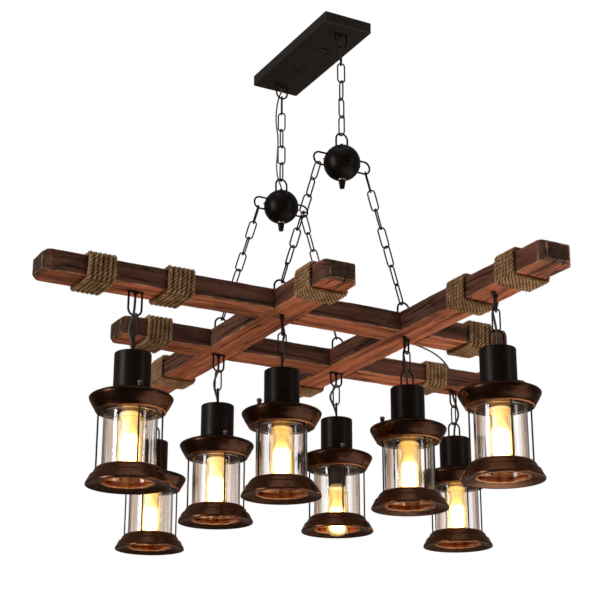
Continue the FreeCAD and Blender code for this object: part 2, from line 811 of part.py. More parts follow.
def main():
    os.makedirs(OUT, exist_ok=True)
    stud_pair = studs()
    save("canopy", [ceiling_plate()])
    save("crossbar", [ceiling_crossbar()] + stud_pair)
    save("canopy_nuts", cap_nuts(stud_pair))
    save("terminal_block", terminal_block())
    hooks = []
    for sign in (-1, 1):
        foot = V(0, sign * hook_spread / 2, -canopy_height)
        hooks += wire_eye(foot, -UP, ACROSS, hook_height)
    save("canopy_hooks", hooks)

    near = upper_chain(-1, upper_near_turns)
    far = upper_chain(1, upper_far_turns)
    save("top_links", [near[0], far[0]])
    save("near_upper_chain", near[1:])
    save("far_upper_chain", far[1:])
    spheres = {sign: ball(sign) for sign in (-1, 1)}
    save("suspension_balls", list(spheres.values()))
    fittings = []
    for sign, sphere in spheres.items():
        fittings += ball_fittings(sign, sphere) + ball_finial(sign, sphere)
    save("ball_fittings", fittings)
    chains = []
    for name, turns in lower_turns.items():
        row = -1 if name.startswith("near") else 1
        side_sign = 1 if name.endswith("right") else -1
        chains += lower_chain(row, side_sign, turns)
    save("lower_chains", chains)

    under = timber(notch_under=True)
    over = timber(notch_under=False)
    beams = (("front_beam", under, 0), ("right_beam", over, 90),
             ("back_beam", under, 180), ("left_beam", over, 270))
    feed = feed_path()
    for name, shape, turn in beams:
        placed = at_turn(shape, turn)
        if name == "right_beam":
            placed = placed.cut(feed_hole(feed[0], feed[1]))
        if name == "back_beam":
            placed = placed.cut(feed_hole(feed[-1], feed[-2]))
        save(name, [placed])
    wraps = []
    for centre in (-half_crossing - wrap_outer_reach, -half_crossing - wrap_inner_reach,
                   half_crossing + wrap_short_reach):
        winding, path = rope_winding(centre)
        wraps += [at_turn(winding, 90 * k) for k in range(4)]
    print("rope winding: least gap between turns", round(least_gap(path), 3))
    save("rope_wraps", wraps)

    eyes = []
    for row in (-1, 1):
        for side_sign in (-1, 1):
            foot = V(side_sign * half_crossing, row * hook_spread / 2, frame_top)
            eyes += wire_eye(foot, UP, ACROSS, frame_eye_height)
    leads = []
    cup = lantern_cup()
    cap = turned_solid(sheet_points(cap_line(), sheet))
    ring = turned_solid(sheet_points(ring_line(), sheet))
    glass = glass_tube()
    for number, row in enumerate(lantern_shares, 1):
        place, beam_turn, eye_turn, link_turn, loop_turn, nut_turn, eye_share, tube_share = row[:8]
        point = hang_point(place, beam_turn)
        drop = lantern_eye_height * eye_share
        eye_side = turned(ACROSS, eye_turn)
        eyes += wire_eye(point + UP * frame_under, -UP, eye_side, lantern_eye_height + drop)
        middle = point + UP * (lantern_hook_z - drop + eye_contact - link_reach / 2)
        save(f"lantern_{number}_link", [link(middle, UP, turned(ACROSS, link_turn))])
        loop = wire_eye(UP * cup_top, UP, turned(ACROSS, loop_turn), lantern_loop_height)
        tube, holder, holder_foot = lamp_holder(low_lamp_drop * tube_share)
        groups = {
            "housing": [cup, cap, thumb_nut(nut_turn, cap), tube, holder] + loop,
            "cage": lantern_rods(nut_turn) + [ring],
            "glass": [glass],
            "bulb": bulb(holder_foot),
        }
        for name, solids in groups.items():
            save(f"lantern_{number}_{name}", [s.translated(point - UP * drop) for s in solids])
        route = lead_path(point, drop, eye_turn, link_turn, loop_turn, *row[8:])
        leads.append(bent_bar(route, ACROSS, lead_diameter))
    save("frame_eyes", eyes)
    save("lantern_leads", leads)
    save("supply_cord", [bent_bar(supply_path(), ACROSS, supply_diameter)])
    save("feed_cord", [round_cord(feed, feed_diameter, "feed_cord")])
    print("frame underside", round(frame_under, 2), "lantern rims", round(ring_foot, 2))
    print("ball centre", round(ball_z, 2), "cup top below timber", round(frame_under - cup_top, 2))


main()
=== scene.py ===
import json
import math
import random
from collections import namedtuple

import bpy
import bmesh
from mathutils import Matrix, Vector, noise


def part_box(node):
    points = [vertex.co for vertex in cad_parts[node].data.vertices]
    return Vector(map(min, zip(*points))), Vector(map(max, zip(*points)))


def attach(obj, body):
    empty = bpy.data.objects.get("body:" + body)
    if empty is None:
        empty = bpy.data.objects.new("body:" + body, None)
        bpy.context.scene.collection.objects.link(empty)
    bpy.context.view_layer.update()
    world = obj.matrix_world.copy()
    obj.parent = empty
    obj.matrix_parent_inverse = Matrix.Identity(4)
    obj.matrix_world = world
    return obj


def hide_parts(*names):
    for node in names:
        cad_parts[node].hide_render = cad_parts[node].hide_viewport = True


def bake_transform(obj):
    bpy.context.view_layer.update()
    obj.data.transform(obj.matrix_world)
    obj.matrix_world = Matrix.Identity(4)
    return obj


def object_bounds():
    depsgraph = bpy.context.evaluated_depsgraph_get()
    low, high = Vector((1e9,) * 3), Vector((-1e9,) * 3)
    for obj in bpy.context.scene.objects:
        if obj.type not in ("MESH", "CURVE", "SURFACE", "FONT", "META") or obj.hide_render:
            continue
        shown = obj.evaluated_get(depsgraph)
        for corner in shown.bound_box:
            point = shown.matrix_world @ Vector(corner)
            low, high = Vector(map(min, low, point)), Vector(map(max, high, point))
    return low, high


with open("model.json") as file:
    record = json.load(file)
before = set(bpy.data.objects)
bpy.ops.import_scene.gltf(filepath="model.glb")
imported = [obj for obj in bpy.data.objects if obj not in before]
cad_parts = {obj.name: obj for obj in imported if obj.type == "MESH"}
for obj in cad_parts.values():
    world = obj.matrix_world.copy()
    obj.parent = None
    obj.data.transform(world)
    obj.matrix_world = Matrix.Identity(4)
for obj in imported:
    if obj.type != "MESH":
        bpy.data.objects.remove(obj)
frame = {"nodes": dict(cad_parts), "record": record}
cad_low, cad_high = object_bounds()

# Sizes are in metres. MM turns a size in millimetres into metres.
MM = 0.001
UP = Vector((0, 0, 1))
ACROSS = Vector((1, 0, 0))
BACKWARD = Vector((0, 1, 0))

# Ceiling plate
canopy_wall = 1.5 * MM
canopy_fold_radius = 2.5 * MM
canopy_corner_radius = 2.6 * MM
canopy_inner_radius = 1.5 * MM
canopy_inner_soft = 1.2 * MM
canopy_rim_inset = 0.25 * MM
canopy_rim_depth = 0.3 * MM
canopy_least_corner = 0.2 * MM
stud_spread = 116.0 * MM
stud_diameter = 5.0 * MM
cap_nut_diameter = 13.0 * MM
cap_nut_height = 9.0 * MM
cap_nut_skirt = 2.4 * MM
cap_nut_overlap = 0.5 * MM
stud_top_depth = 2.5 * MM

# Wire eyes, chain and balls. A lantern's link and loop are drawn a little finer, for room to swing.
swing_wire_share = 0.95
eye_wire = 4.0 * MM
eye_width = 30.5 * MM
eye_strip_overhang = 1.0 * MM
hook_height = 35.0 * MM
ball_eye_height = 29.75 * MM
frame_eye_height = 38.0 * MM
lantern_eye_height = 34.0 * MM
lantern_loop_height = 38.0 * MM
eye_strip_width = 9.0 * MM
eye_strip_thickness = 2.0 * MM
eye_strip_corner = 2.6 * MM
nipple_diameter = 9.5 * MM
nipple_height = 6.5 * MM
nipple_sunk_share = 0.25
link_wire = 3.2 * MM
link_length = 47.0 * MM
link_width = 18.5 * MM
contact_gap = 0.3 * MM
washer_diameter = 17.0 * MM
washer_thickness = 1.6 * MM
washer_sunk = 4.0 * MM
plug_top_diameter = 14.0 * MM
plug_tip_diameter = 10.0 * MM
plug_height = 17.0 * MM
plug_collar = 3.0 * MM
plug_hole_depth = 2.0 * MM
plug_hole_mouth = 2.6 * MM
plug_hole_floor = 2.2 * MM
plug_core = 0.5 * MM
washer_soft = 0.6 * MM
plug_soft = 1.0 * MM
ball_overlap = 1.0 * MM

# Timbers
long_arm = 490.0 * MM
short_arm = 230.0 * MM
hewn_depth = 2.2 * MM
fine_depth = 0.35 * MM
corner_round = 2.8 * MM
station_step = 4.0 * MM
side_step = 2.0 * MM
end_cut_along = 13.0 * MM
end_cut_across = 10.0 * MM
end_slope_along = 7.0 * MM
end_slope_down = 5.0 * MM
end_rub_length = 3.0 * MM
end_hollow = 1.0 * MM
# Painted shade: beyond the outer winding toward each timber's long end, the underside turns darker, more like
# the sides, faded in over this length.
shaded_end_fade = 20.0 * MM
lap_gap = 0.3 * MM
lap_clearance = 1.0 * MM
lap_split = 0.001 * MM
split_drift = 3.5 * MM
split_lip = 0.9 * MM
split_spread = 7

# Rope
rope_diameter = 8.6 * MM
rope_turns = 6
rope_turn_gap = 0.5 * MM
rope_seat_gap = 0.3 * MM
rope_corner = 9.0 * MM
rope_step = 2.5 * MM
rope_sway = 0.8 * MM
rope_sink = 0.35 * MM
rope_lay = 23.0 * MM
hair_length = 4.5 * MM
hairs_per_area = 32000.0
wrap_outer_reach = 385.0 * MM
wrap_inner_reach = 231.0 * MM
wrap_short_reach = 152.0 * MM

# Lanterns
sheet = 1.2 * MM
cup_diameter = 67.0 * MM
cup_height = 67.0 * MM
cup_edge = 1.5 * MM
cap_diameter = 150.5 * MM
cap_height = 43.0 * MM
cap_seat_width = 9.0 * MM
cap_mouth_diameter = 51.0 * MM
cup_soft = 1.2 * MM
cap_soft = 2.0 * MM
ring_soft = 1.6 * MM
glass_soft = 0.7 * MM
column_soft = 3.0 * MM
rod_diameter = 3.2 * MM
rod_circle = 117.0 * MM
rod_length = 98.0 * MM
rod_into_cap = 1.5 * MM
rod_into_ring = 10.0 * MM
ring_diameter = 150.0 * MM
ring_height = 32.5 * MM
ring_recess = 5.0 * MM
ring_rim = 2.5 * MM
glass_diameter = 96.0 * MM
glass_wall = 2.2 * MM
glass_side_gap = 1.0 * MM
glass_ripple = 0.12 * MM
seat_lip = 1.0 * MM
nut_diameter = 10.0 * MM
nut_height = 9.0 * MM
nut_side_high = 2.4 * MM
nut_side_low = 5.0 * MM
nut_chamfer = 0.6 * MM
nut_soft = 1.2 * MM
holder_diameter = 38.0 * MM
holder_height = 57.0 * MM
holder_wall = 4.0 * MM
holder_groove = 1.2 * MM
holder_groove_heights = (6.4 * MM, 7.0 * MM, 8.4 * MM, 9.0 * MM)
holder_soft = 1.2 * MM
holder_overlap = 1.0 * MM
tube_diameter = 10.0 * MM
tube_length = 45.0 * MM
screw_cap_height = 27.0 * MM
thread_crest = 13.1 * MM
thread_root = 12.3 * MM
thread_pitch = 3.6 * MM
thread_start = 4.0 * MM
bulb_diameter = 46.0 * MM
bulb_length = 106.0 * MM
bulb_neck_diameter = 27.0 * MM
bulb_neck_overlap = 1.0 * MM
bulb_wall = 0.8 * MM
column_inset = 4.0 * MM
near_axis = 0.1 * MM
screw_end = ((11.5 * MM, 26.0 * MM), (4.0 * MM, 30.5 * MM), (near_axis, 31.0 * MM))

# Wires
lead_diameter = 4.6 * MM
lead_pass = 7.5 * MM
supply_diameter = 3.4 * MM
lead_bend_short = 6.0 * MM
lead_bend_long = 12.0 * MM
feed_diameter = 3.5 * MM

# Floor, well under the object and out to its sides; the lights face a place on the object's axis
floor_drop = 1.5
floor_reach = 6.0
lit_place = Vector((0, 0, -0.75))

# Camera, fitted to the photograph: focal length in mm, place, and turns in radians
camera_lens = 89.23
camera_place = (-1.40016, -2.52322, -1.57628)
camera_yaw = -0.499
camera_pitch = 0.334
camera_roll = 0.001

# Levels and places, read from the frame
front_low, front_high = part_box("front_beam")
right_low, right_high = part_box("right_beam")
frame_under = front_low.z
frame_top = front_high.z
half_crossing = (right_low.x + right_high.x) / 2
ball_low, ball_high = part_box("suspension_balls")
ball_radius = (ball_high.z - ball_low.z) / 2
ball_z = (ball_high.z + ball_low.z) / 2
hook_y = ball_high.y - ball_radius
plate_low, plate_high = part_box("canopy")
lantern_places = {}
for number in range(1, 9):
    cage_low, cage_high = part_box(f"lantern_{number}_cage")
    lantern_places[number] = ((cage_low + cage_high) / 2).xy.to_3d() + UP * cage_low.z

# Heights of the wires' middles where links hang, the bend of an eye, and a link's contact, reach and step
hook_bend_z = plate_low.z - hook_height + eye_wire / 2
ball_eye_z = ball_z + ball_radius + ball_eye_height - eye_wire / 2
eye_bend = (eye_width - eye_wire) / 2
link_contact = (eye_wire + link_wire) / 2 + contact_gap
link_reach = link_length - link_wire
link_step = link_reach - link_wire - contact_gap

# Turns of the links about their chains, in degrees, and the eight lanterns: turns of the eye,
# link, loop and thumb nut, the eye's drop in mm, the lamp's extra drop, and the lead's side,
# bulge direction and share
upper_near_turns = (-68, 11, -85, -20, 75)
upper_far_turns = (-68, 40, -40, 25, -85)
lower_turns = {
    (-1, 1): (-60, 50, -40, 15, 75, -25, -80),
    (-1, -1): (65, -30, 30, 95, 0, 80, -55),
    (1, 1): (65, -30, 40, -45, 15, 80, -60),
    (1, -1): (-60, 30, 95, 5, 70, -20, -85),
}
Lantern = namedtuple("Lantern", "eye link loop nut drop lamp_drop side bulge share")
lanterns = {
    1: (2, -65, 61, 262, 14.62, 0, -1, 151, 1.2),
    2: (-8, 82, -8, 229, 10.2, 0, 1, 172, 1.0),
    3: (10, -62, 61, 261, 5.78, 0, -1, 151, 1.2),
    4: (61, -28, 61, 197, 4.08, 0, -1, -118, 1.0),
    5: (0, -62, 61, 252, 0, 39, -1, 151, 2.1),
    6: (38, -60, -6, 179, 0, 0, -1, -150, 1.0),
    7: (46, -60, -15, 343, 1.02, 0, -1, -150, 1.0),
    8: (27, 90, -8, 80, 5.78, 0, -1, -29, 1.6),
}
lanterns = {number: Lantern(*row) for number, row in lanterns.items()}

# Routes of the cords, in mm: the feed cord above the frame's top; the supply cord beside the far
# chain, across from it and down it in link steps under the first contact
feed_route = (
    (137.0, -4.0, -8.0), (152.0, 0.0, 6.0), (178.0, 4.0, 13.0), (216.0, 12.0, 13.0),
    (258.0, 24.5, 12.0), (299.0, 40.5, 12.5), (335.0, 60.0, 13.5), (367.0, 83.5, 14.5),
    (398.0, 109.5, 15.0), (424.0, 131.5, 12.5), (441.0, 146.5, 5.0), (452.0, 156.0, -6.0),
)
supply_steps = (
    (-5.0, 6.0, 0), (-11.0, 5.0, 0.8), (-14.0, 1.0, 1.7), (-11.0, -5.0, 2.6), (-12.0, -4.0, 3.5),
    (-11.0, 4.0, 4.3),
)

# Splits along the grain: face, place across it, start, end, depth, all in mm
timber_splits = {
    "front_beam": (("under", -13, -560, -395, 3.5), ("under", -15, -330, -150, 4.0),
                   ("under", 12, -120, 130, 4.5), ("front", -8, -600, -548, 2.5),
                   ("under", -2, -700, -540, 4.0), ("front", -12, -490, -420, 3.0),
                   ("front", -11, -330, 60, 4.5), ("front", 4, 130, 260, 3.0), ("top", 9, -480, 100, 4.0),
                   ("back", 2, -300, 200, 4.0)),
    "left_beam": (("under", 8, -600, -250, 4.5), ("under", -14, -210, 120, 4.5),
                  ("under", -15, 318, 430, 5.0), ("under", -3, 325, 430, 5.5), ("under", 10, 310, 430, 5.0),
                  ("under", 20, -60, 200, 3.5), ("front", 3, -560, -180, 4.5), ("front", -9, -60, 180, 3.5),
                  ("back", -5, -560, -260, 3.5), ("top", -10, -400, 200, 4.0)),
    "right_beam": (("under", -6, -700, -180, 5.0), ("under", 17, -300, 60, 4.5),
                   ("under", 5, -700, -570, 5.5), ("under", -16, -700, -585, 5.0),
                   ("under", -20, -80, 210, 4.0), ("front", -4, -520, -200, 4.0),
                   ("front", 6, -100, 140, 3.5), ("back", 5, -580, -320, 4.0), ("back", -7, -250, 100, 4.0),
                   ("top", 11, -500, 200, 4.0)),
    "back_beam": (("under", 10, -570, -240, 4.0), ("under", -12, -120, 150, 4.0),
                  ("back", -8, -560, -390, 4.0), ("back", -10, -100, 240, 4.5), ("front", 2, -400, 100, 4.0),
                  ("top", 8, -420, 200, 4.0)),
}
timber_turns = {"front_beam": 0, "right_beam": 90, "back_beam": 180, "left_beam": 270}

# Outlines as shares of a radius and a height, with wear. A wear below zero is painted shade (the cap's top
# and step, the ring's groove); the highest wears, at the cap's lower edge and the ring's top by the glass,
# paint the lamps' golden light.
cap_outline_shares = (
    (0.700, 0.130, -0.4), (0.885, 0.240, 0.2), (0.897, 0.285, -0.3), (0.950, 0.285, 0.2), (1.000, 0.372, 0.5),
    (0.993, 0.453, 0.2), (0.925, 0.686, 0.2), (0.855, 0.884, 0.5), (0.828, 1.000, 1.6),
)
ring_outline_shares = (
    (0.720, 0.000, 1.8), (0.800, 0.170, 0.5), (0.843, 0.385, 0.1), (0.862, 0.420, -0.6), (0.900, 0.460, 0.5),
    (0.950, 0.700, 0.1), (1.000, 0.900, 0.5), (1.000, 1.000, 0.6),
)
bulb_outline_shares = (
    (0.62, 0.09), (0.86, 0.15), (1.00, 0.22), (1.00, 0.84), (0.82, 0.94), (0.48, 0.99), (0.00, 1.00),
)

# The lit column inside a lamp: a flared collar, a waist and the wide bright part
column_outline_shares = (
    (0.005, 0.00), (0.72, 0.00), (0.88, 0.05), (0.82, 0.11), (0.64, 0.17), (0.58, 0.23), (0.60, 0.31),
    (0.68, 0.38), (0.78, 0.47), (0.78, 0.88), (0.64, 0.95), (0.30, 0.99), (0.005, 1.00),
)

# A nipple's rings: share of its height, share of its radius, and how hexagonal it is there
nipple_ring_shares = (
    (0, 0.93, 1), (0.05, 1, 1), (0.42, 1, 1), (0.5, 0.93, 0.4), (0.52, 0.66, 0), (0.92, 0.6, 0),
    (1.0, 0.48, 0),
)


# Shapes

def turned(vector, degrees):
    return Matrix.Rotation(math.radians(degrees), 3, "Z") @ vector


def arc(degrees):
    return [math.radians(d) for d in degrees]


def mesh_of(corners, faces, smooth=True, **values):
    """A mesh, and a value or a vector at each corner, which the finishes read by name."""
    mesh = bpy.data.meshes.new("shape")
    mesh.from_pydata([tuple(c) for c in corners], [], faces)
    mesh.update()
    if smooth:
        mesh.shade_smooth()
    add_values(mesh, **values)
    return mesh


def add_values(mesh, **values):
    for name, row in values.items():
        kind, key = ("FLOAT_VECTOR", "vector") if isinstance(row[0], Vector) else ("FLOAT", "value")
        flat = [c for v in row for c in v] if key == "vector" else row
        mesh.attributes.new(name, kind, "POINT").data.foreach_set(key, flat)


def outward(mesh, merged=False):
    """Faces of closed shells turned outwards, after corners that meet are merged."""
    shape = bmesh.new()
    shape.from_mesh(mesh)
    if merged:
        bmesh.ops.remove_doubles(shape, verts=shape.verts, dist=1e-6)
    bmesh.ops.recalc_face_normals(shape, faces=shape.faces)
    shape.to_mesh(mesh)
    shape.free()
    return mesh


def softened(line, radius, steps=3):
    """A closed outline with its corners rounded and its straight runs kept straight.

    Wear stays at the corners; a wear of 2 or more, which paints lamp light on the base rings, also covers the
    runs beside them.
    """
    smooth = []
    count = len(line)
    for i, corner in enumerate(line):
        here = Vector(corner[:2])
        before = Vector(line[i - 1][:2]) - here
        after = Vector(line[(i + 1) % count][:2]) - here
        reach = min(radius, before.length * 0.4, after.length * 0.4)
        start = here + before.normalized() * reach
        end = here + after.normalized() * reach
        wear = corner[2]
        beside = wear if wear >= 2 else 0
        smooth.append((*(here + before.normalized() * min(reach * 2, before.length * 0.48)), beside))
        for k in range(steps + 1):
            t = k / steps
            smooth.append((*(start * (1 - t) ** 2 + here * 2 * t * (1 - t) + end * t ** 2), wear))
        smooth.append((*(here + after.normalized() * min(reach * 2, after.length * 0.48)), beside))
    return smooth


def thickened(line, thickness, inner_wear_and_painted_light=0.0):
    """A line of (radius, height, wear) points given a wall to its right."""
    shifted = []
    for i, (r, z, wear) in enumerate(line):
        normals = []
        for a, b in ((i - 1, i), (i, i + 1)):
            if a >= 0 and b < len(line):
                run = Vector((line[b][0] - line[a][0], line[b][1] - line[a][1])).normalized()
                normals.append(Vector((run.y, -run.x)))
        mid = normals[0] + normals[-1]
        scale = thickness / mid.dot(normals[0])
        shifted.append((r + mid.x * scale, z + mid.y * scale, inner_wear_and_painted_light))
    return line + shifted[::-1]


def lathed(line, centre, sides=72, ripple=0.0, seed=0):
    """A closed outline of (radius, height, wear) points turned about a vertical axis."""
    places, faces = [], []
    rows = len(line)
    for k in range(sides):
        angle = 2 * math.pi * k / sides
        wave = ripple * noise.noise(Vector((math.cos(angle) * 3, math.sin(angle) * 3, seed)))
        after = (k + 1) % sides
        for i, (r, z, wear) in enumerate(line):
            reach = r + wave
            places.append(Vector((reach * math.cos(angle), reach * math.sin(angle), z)))
            j = (i + 1) % rows
            faces.append((k * rows + i, after * rows + i, after * rows + j, k * rows + j))
    wears = [wear for _ in range(sides) for _, _, wear in line]
    mesh = outward(mesh_of([centre + p for p in places], faces, wear=wears, place=places), merged=True)
    mesh.shade_smooth()
    return mesh


def band(low, high, count):
    """Quads between two rings of corners, given by the number of each ring's first corner."""
    return [(low + i, low + (i + 1) % count, high + (i + 1) % count, high + i) for i in range(count)]


def stacked(rings):
    """A closed shape from rings of corners, its first and last ring capped."""
    corners = [c for ring in rings for c in ring]
    count = len(rings[0])
    faces = [tuple(range(count))[::-1], tuple(range(len(corners) - count, len(corners)))]
    for k in range(len(rings) - 1):
        faces += band(k * count, (k + 1) * count, count)
    return corners, faces


def rounded_corners(steps):
    """The signs and the angle of each corner point of a rounded rectangle."""
    for start, (x_sign, y_sign) in enumerate(((1, 1), (-1, 1), (-1, -1), (1, -1))):
        for k in range(steps + 1):
            yield x_sign, y_sign, (start + k / steps) * math.pi / 2


def path_mesh(paths):
    """Edges along each path, for the trees that sweep a section along them."""
    corners, edges = [], []
    for path in paths:
        first = len(corners)
        corners += [tuple(p) for p in path]
        edges += [(first + i, first + i + 1) for i in range(len(path) - 1)]
    mesh = bpy.data.meshes.new("paths")
    mesh.from_pydata(corners, edges, [])
    return mesh


def curve_along(name, route, resolution):
    """A smooth curve that starts and ends with its route."""
    curve = bpy.data.curves.new(name, "CURVE")
    curve.dimensions = "3D"
    curve.resolution_u = resolution
    spline = curve.splines.new("NURBS")
    spline.points.add(len(route) - 1)
    for point, place in zip(spline.points, route):
        point.co = (*place, 1)
    spline.order_u = 3
    spline.use_endpoint_u = True
    return curve


# Pieces

def shown(name, data):
    """A new object in the scene."""
    thing = bpy.data.objects.new(name, data)
    bpy.context.collection.objects.link(thing)
    return thing


def evaluated(thing):
    """The mesh that an object comes to, and the object taken away."""
    mesh = bpy.data.meshes.new_from_object(thing.evaluated_get(bpy.context.evaluated_depsgraph_get()))
    bpy.data.objects.remove(thing)
    return mesh


def spline_points(route, resolution=8):
    """Points read from the smooth curve of a route."""
    return [v.co.copy() for v in evaluated(shown("route", curve_along("route", route, resolution))).vertices]


def grown(name, base, tree, **values):
    """The mesh that a geometry tree makes from a base mesh."""
    seed = shown(name, base)
    modifier = seed.modifiers.new("grow", "NODES")
    modifier.node_group = tree
    for item in tree.interface.items_tree:
        if item.in_out == "INPUT" and item.name in values:
            modifier[item.identifier] = values[item.name]
    return evaluated(seed)


def put(name, mesh, body, material=None, nodes=()):
    """A finished piece in its place, moving with its body."""
    piece = shown(name, mesh)
    if material:
        mesh.materials.clear()
        mesh.materials.append(material)
    if body:
        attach(piece, body)
    if nodes:
        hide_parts(*nodes)
    return piece


def joined(meshes):
    """One mesh of several, their materials and values kept."""
    pieces = [shown("part", mesh) for mesh in meshes]
    with bpy.context.temp_override(active_object=pieces[0], selected_editable_objects=pieces,
                                   selected_objects=pieces):
        bpy.ops.object.join()
    mesh = pieces[0].data
    bpy.data.objects.remove(pieces[0])
    return mesh


# Nodes

class Nodes:
    """Makes the nodes of one tree. A socket's value is a number, a colour or another node's output."""

    def __init__(self, tree):
        self.tree = tree

    def fill(self, made, sockets):
        for name, value in sockets.items():
            socket = made.inputs[name]
            if isinstance(value, bpy.types.NodeSocket):
                self.tree.links.new(value, socket)
            else:
                solid = socket.type == "RGBA" and len(value) == 3
                socket.default_value = (*value, 1) if solid else value

    def add(self, kind, sockets=None, **settings):
        made = self.tree.nodes.new(kind)
        for key, value in settings.items():
            setattr(made, key, value)
        self.fill(made, sockets or {})
        return made

    def shade(self, kind, sockets=None, output=0, **settings):
        return self.add("ShaderNode" + kind, sockets, **settings).outputs[output]

    def geo(self, kind, sockets=None, output=0, **settings):
        return self.add("GeometryNode" + kind, sockets, **settings).outputs[output]

    def math(self, operation, first, second=0.0):
        return self.shade("Math", {0: first, 1: second}, operation=operation)

    def plus(self, first, second):
        return self.math("ADD", first, second)

    def minus(self, first, second):
        return self.math("SUBTRACT", first, second)

    def times(self, first, second):
        return self.math("MULTIPLY", first, second)

    def ramp(self, value, low, high, to_low=0.0, to_high=1.0):
        return self.shade("MapRange", {
            "Value": value, "From Min": low, "From Max": high, "To Min": to_low, "To Max": to_high})

    def blend(self, mask, first, second, way="MIX"):
        return self.shade("Mix", {0: mask, 6: first, 7: second}, 2, data_type="RGBA", blend_type=way)

    def noise(self, place, scale, detail=2.0, roughness=0.5, distortion=0.0):
        return self.shade("TexNoise", {"Vector": place, "Scale": scale, "Detail": detail,
                                       "Roughness": roughness, "Distortion": distortion})

    def stretched(self, place, scale):
        return self.shade("Mapping", {"Vector": place, "Scale": scale})

    def place(self):
        return self.shade("TexCoord", output="Object")

    def carried(self, name, output="Fac"):
        """A value or a place that the piece's mesh carries."""
        return self.shade("Attribute", output=output, attribute_name=name)

    def bump(self, distance, height):
        return self.shade("Bump", {"Strength": 1.0, "Distance": distance, "Height": height})

    def effect(self, group, **sockets):
        return self.add("ShaderNodeGroup", sockets, node_tree=group).outputs

    def store(self, geometry, name, value):
        return self.geo("StoreNamedAttribute", {"Geometry": geometry, "Name": name, "Value": value},
                        data_type="FLOAT", domain="POINT")

    def circle(self, sides, diameter):
        return self.geo("CurvePrimitiveCircle", {"Resolution": sides, "Radius": self.times(diameter, 0.5)})

    def sweep(self, curve, profile, caps=True):
        return self.geo("CurveToMesh", {"Curve": curve, "Profile Curve": profile, "Fill Caps": caps})


def node_group(name, kind, inputs, outputs):
    """An empty group. Its sockets are written as name:kind with blanks between them."""
    tree = bpy.data.node_groups.new(name, kind)
    for in_out, words in (("INPUT", inputs), ("OUTPUT", outputs)):
        for word in words.split():
            title, socket = word.split(":")
            tree.interface.new_socket(title, in_out=in_out, socket_type="NodeSocket" + socket)
    return Nodes(tree), tree.nodes.new("NodeGroupInput").outputs, tree.nodes.new("NodeGroupOutput")


def finished(nodes, geometry, material, result):
    """Smooth faces, instances made real, and the finish set."""
    smooth = nodes.geo("SetShadeSmooth", {"Geometry": geometry})
    real = nodes.geo("RealizeInstances", {"Geometry": smooth})
    nodes.fill(result, {0: nodes.geo("SetMaterial", {"Geometry": real, "Material": material})})
    return nodes.tree


def round_wire_tree():
    """Round wire swept along each path."""
    nodes, given, result = node_group(
        "Round wire", "GeometryNodeTree",
        "Geometry:Geometry Diameter:Float Sides:Int Finish:Material", "Geometry:Geometry")
    path = nodes.geo("MeshToCurve", {"Mesh": given["Geometry"]})
    marked = nodes.store(path, "along", nodes.geo("SplineParameter", output="Length"))
    tube = nodes.sweep(marked, nodes.circle(given["Sides"], given["Diameter"]))
    return finished(nodes, tube, given["Finish"], result)


def chain_link_tree():
    """An oval link of round wire at each point, turned as the point's turn says."""
    nodes, given, result = node_group(
        "Chain links", "GeometryNodeTree", "Geometry:Geometry Wire:Float Length:Float Width:Float "
        "Steps:Int Sides:Int Finish:Material", "Geometry:Geometry")
    straight = nodes.times(nodes.minus(given["Length"], given["Width"]), 0.5)
    circle = nodes.circle(given["Steps"], nodes.minus(given["Width"], given["Wire"]))
    spot = nodes.add("ShaderNodeSeparateXYZ", {0: nodes.geo("InputPosition")}).outputs
    high = nodes.plus(spot["Y"], nodes.times(nodes.math("SIGN", spot["Y"]), straight))
    oval = nodes.geo("SetPosition", {
        "Geometry": circle, "Position": nodes.shade("CombineXYZ", {"X": spot["X"], "Z": high})})
    link = nodes.sweep(oval, nodes.circle(given["Sides"], given["Wire"]), False)
    turn = nodes.geo("InputNamedAttribute", {"Name": "turn"}, "Attribute", data_type="FLOAT_VECTOR")
    links = nodes.geo("InstanceOnPoints", {"Points": given["Geometry"], "Instance": link, "Rotation": turn})
    return finished(nodes, links, given["Finish"], result)


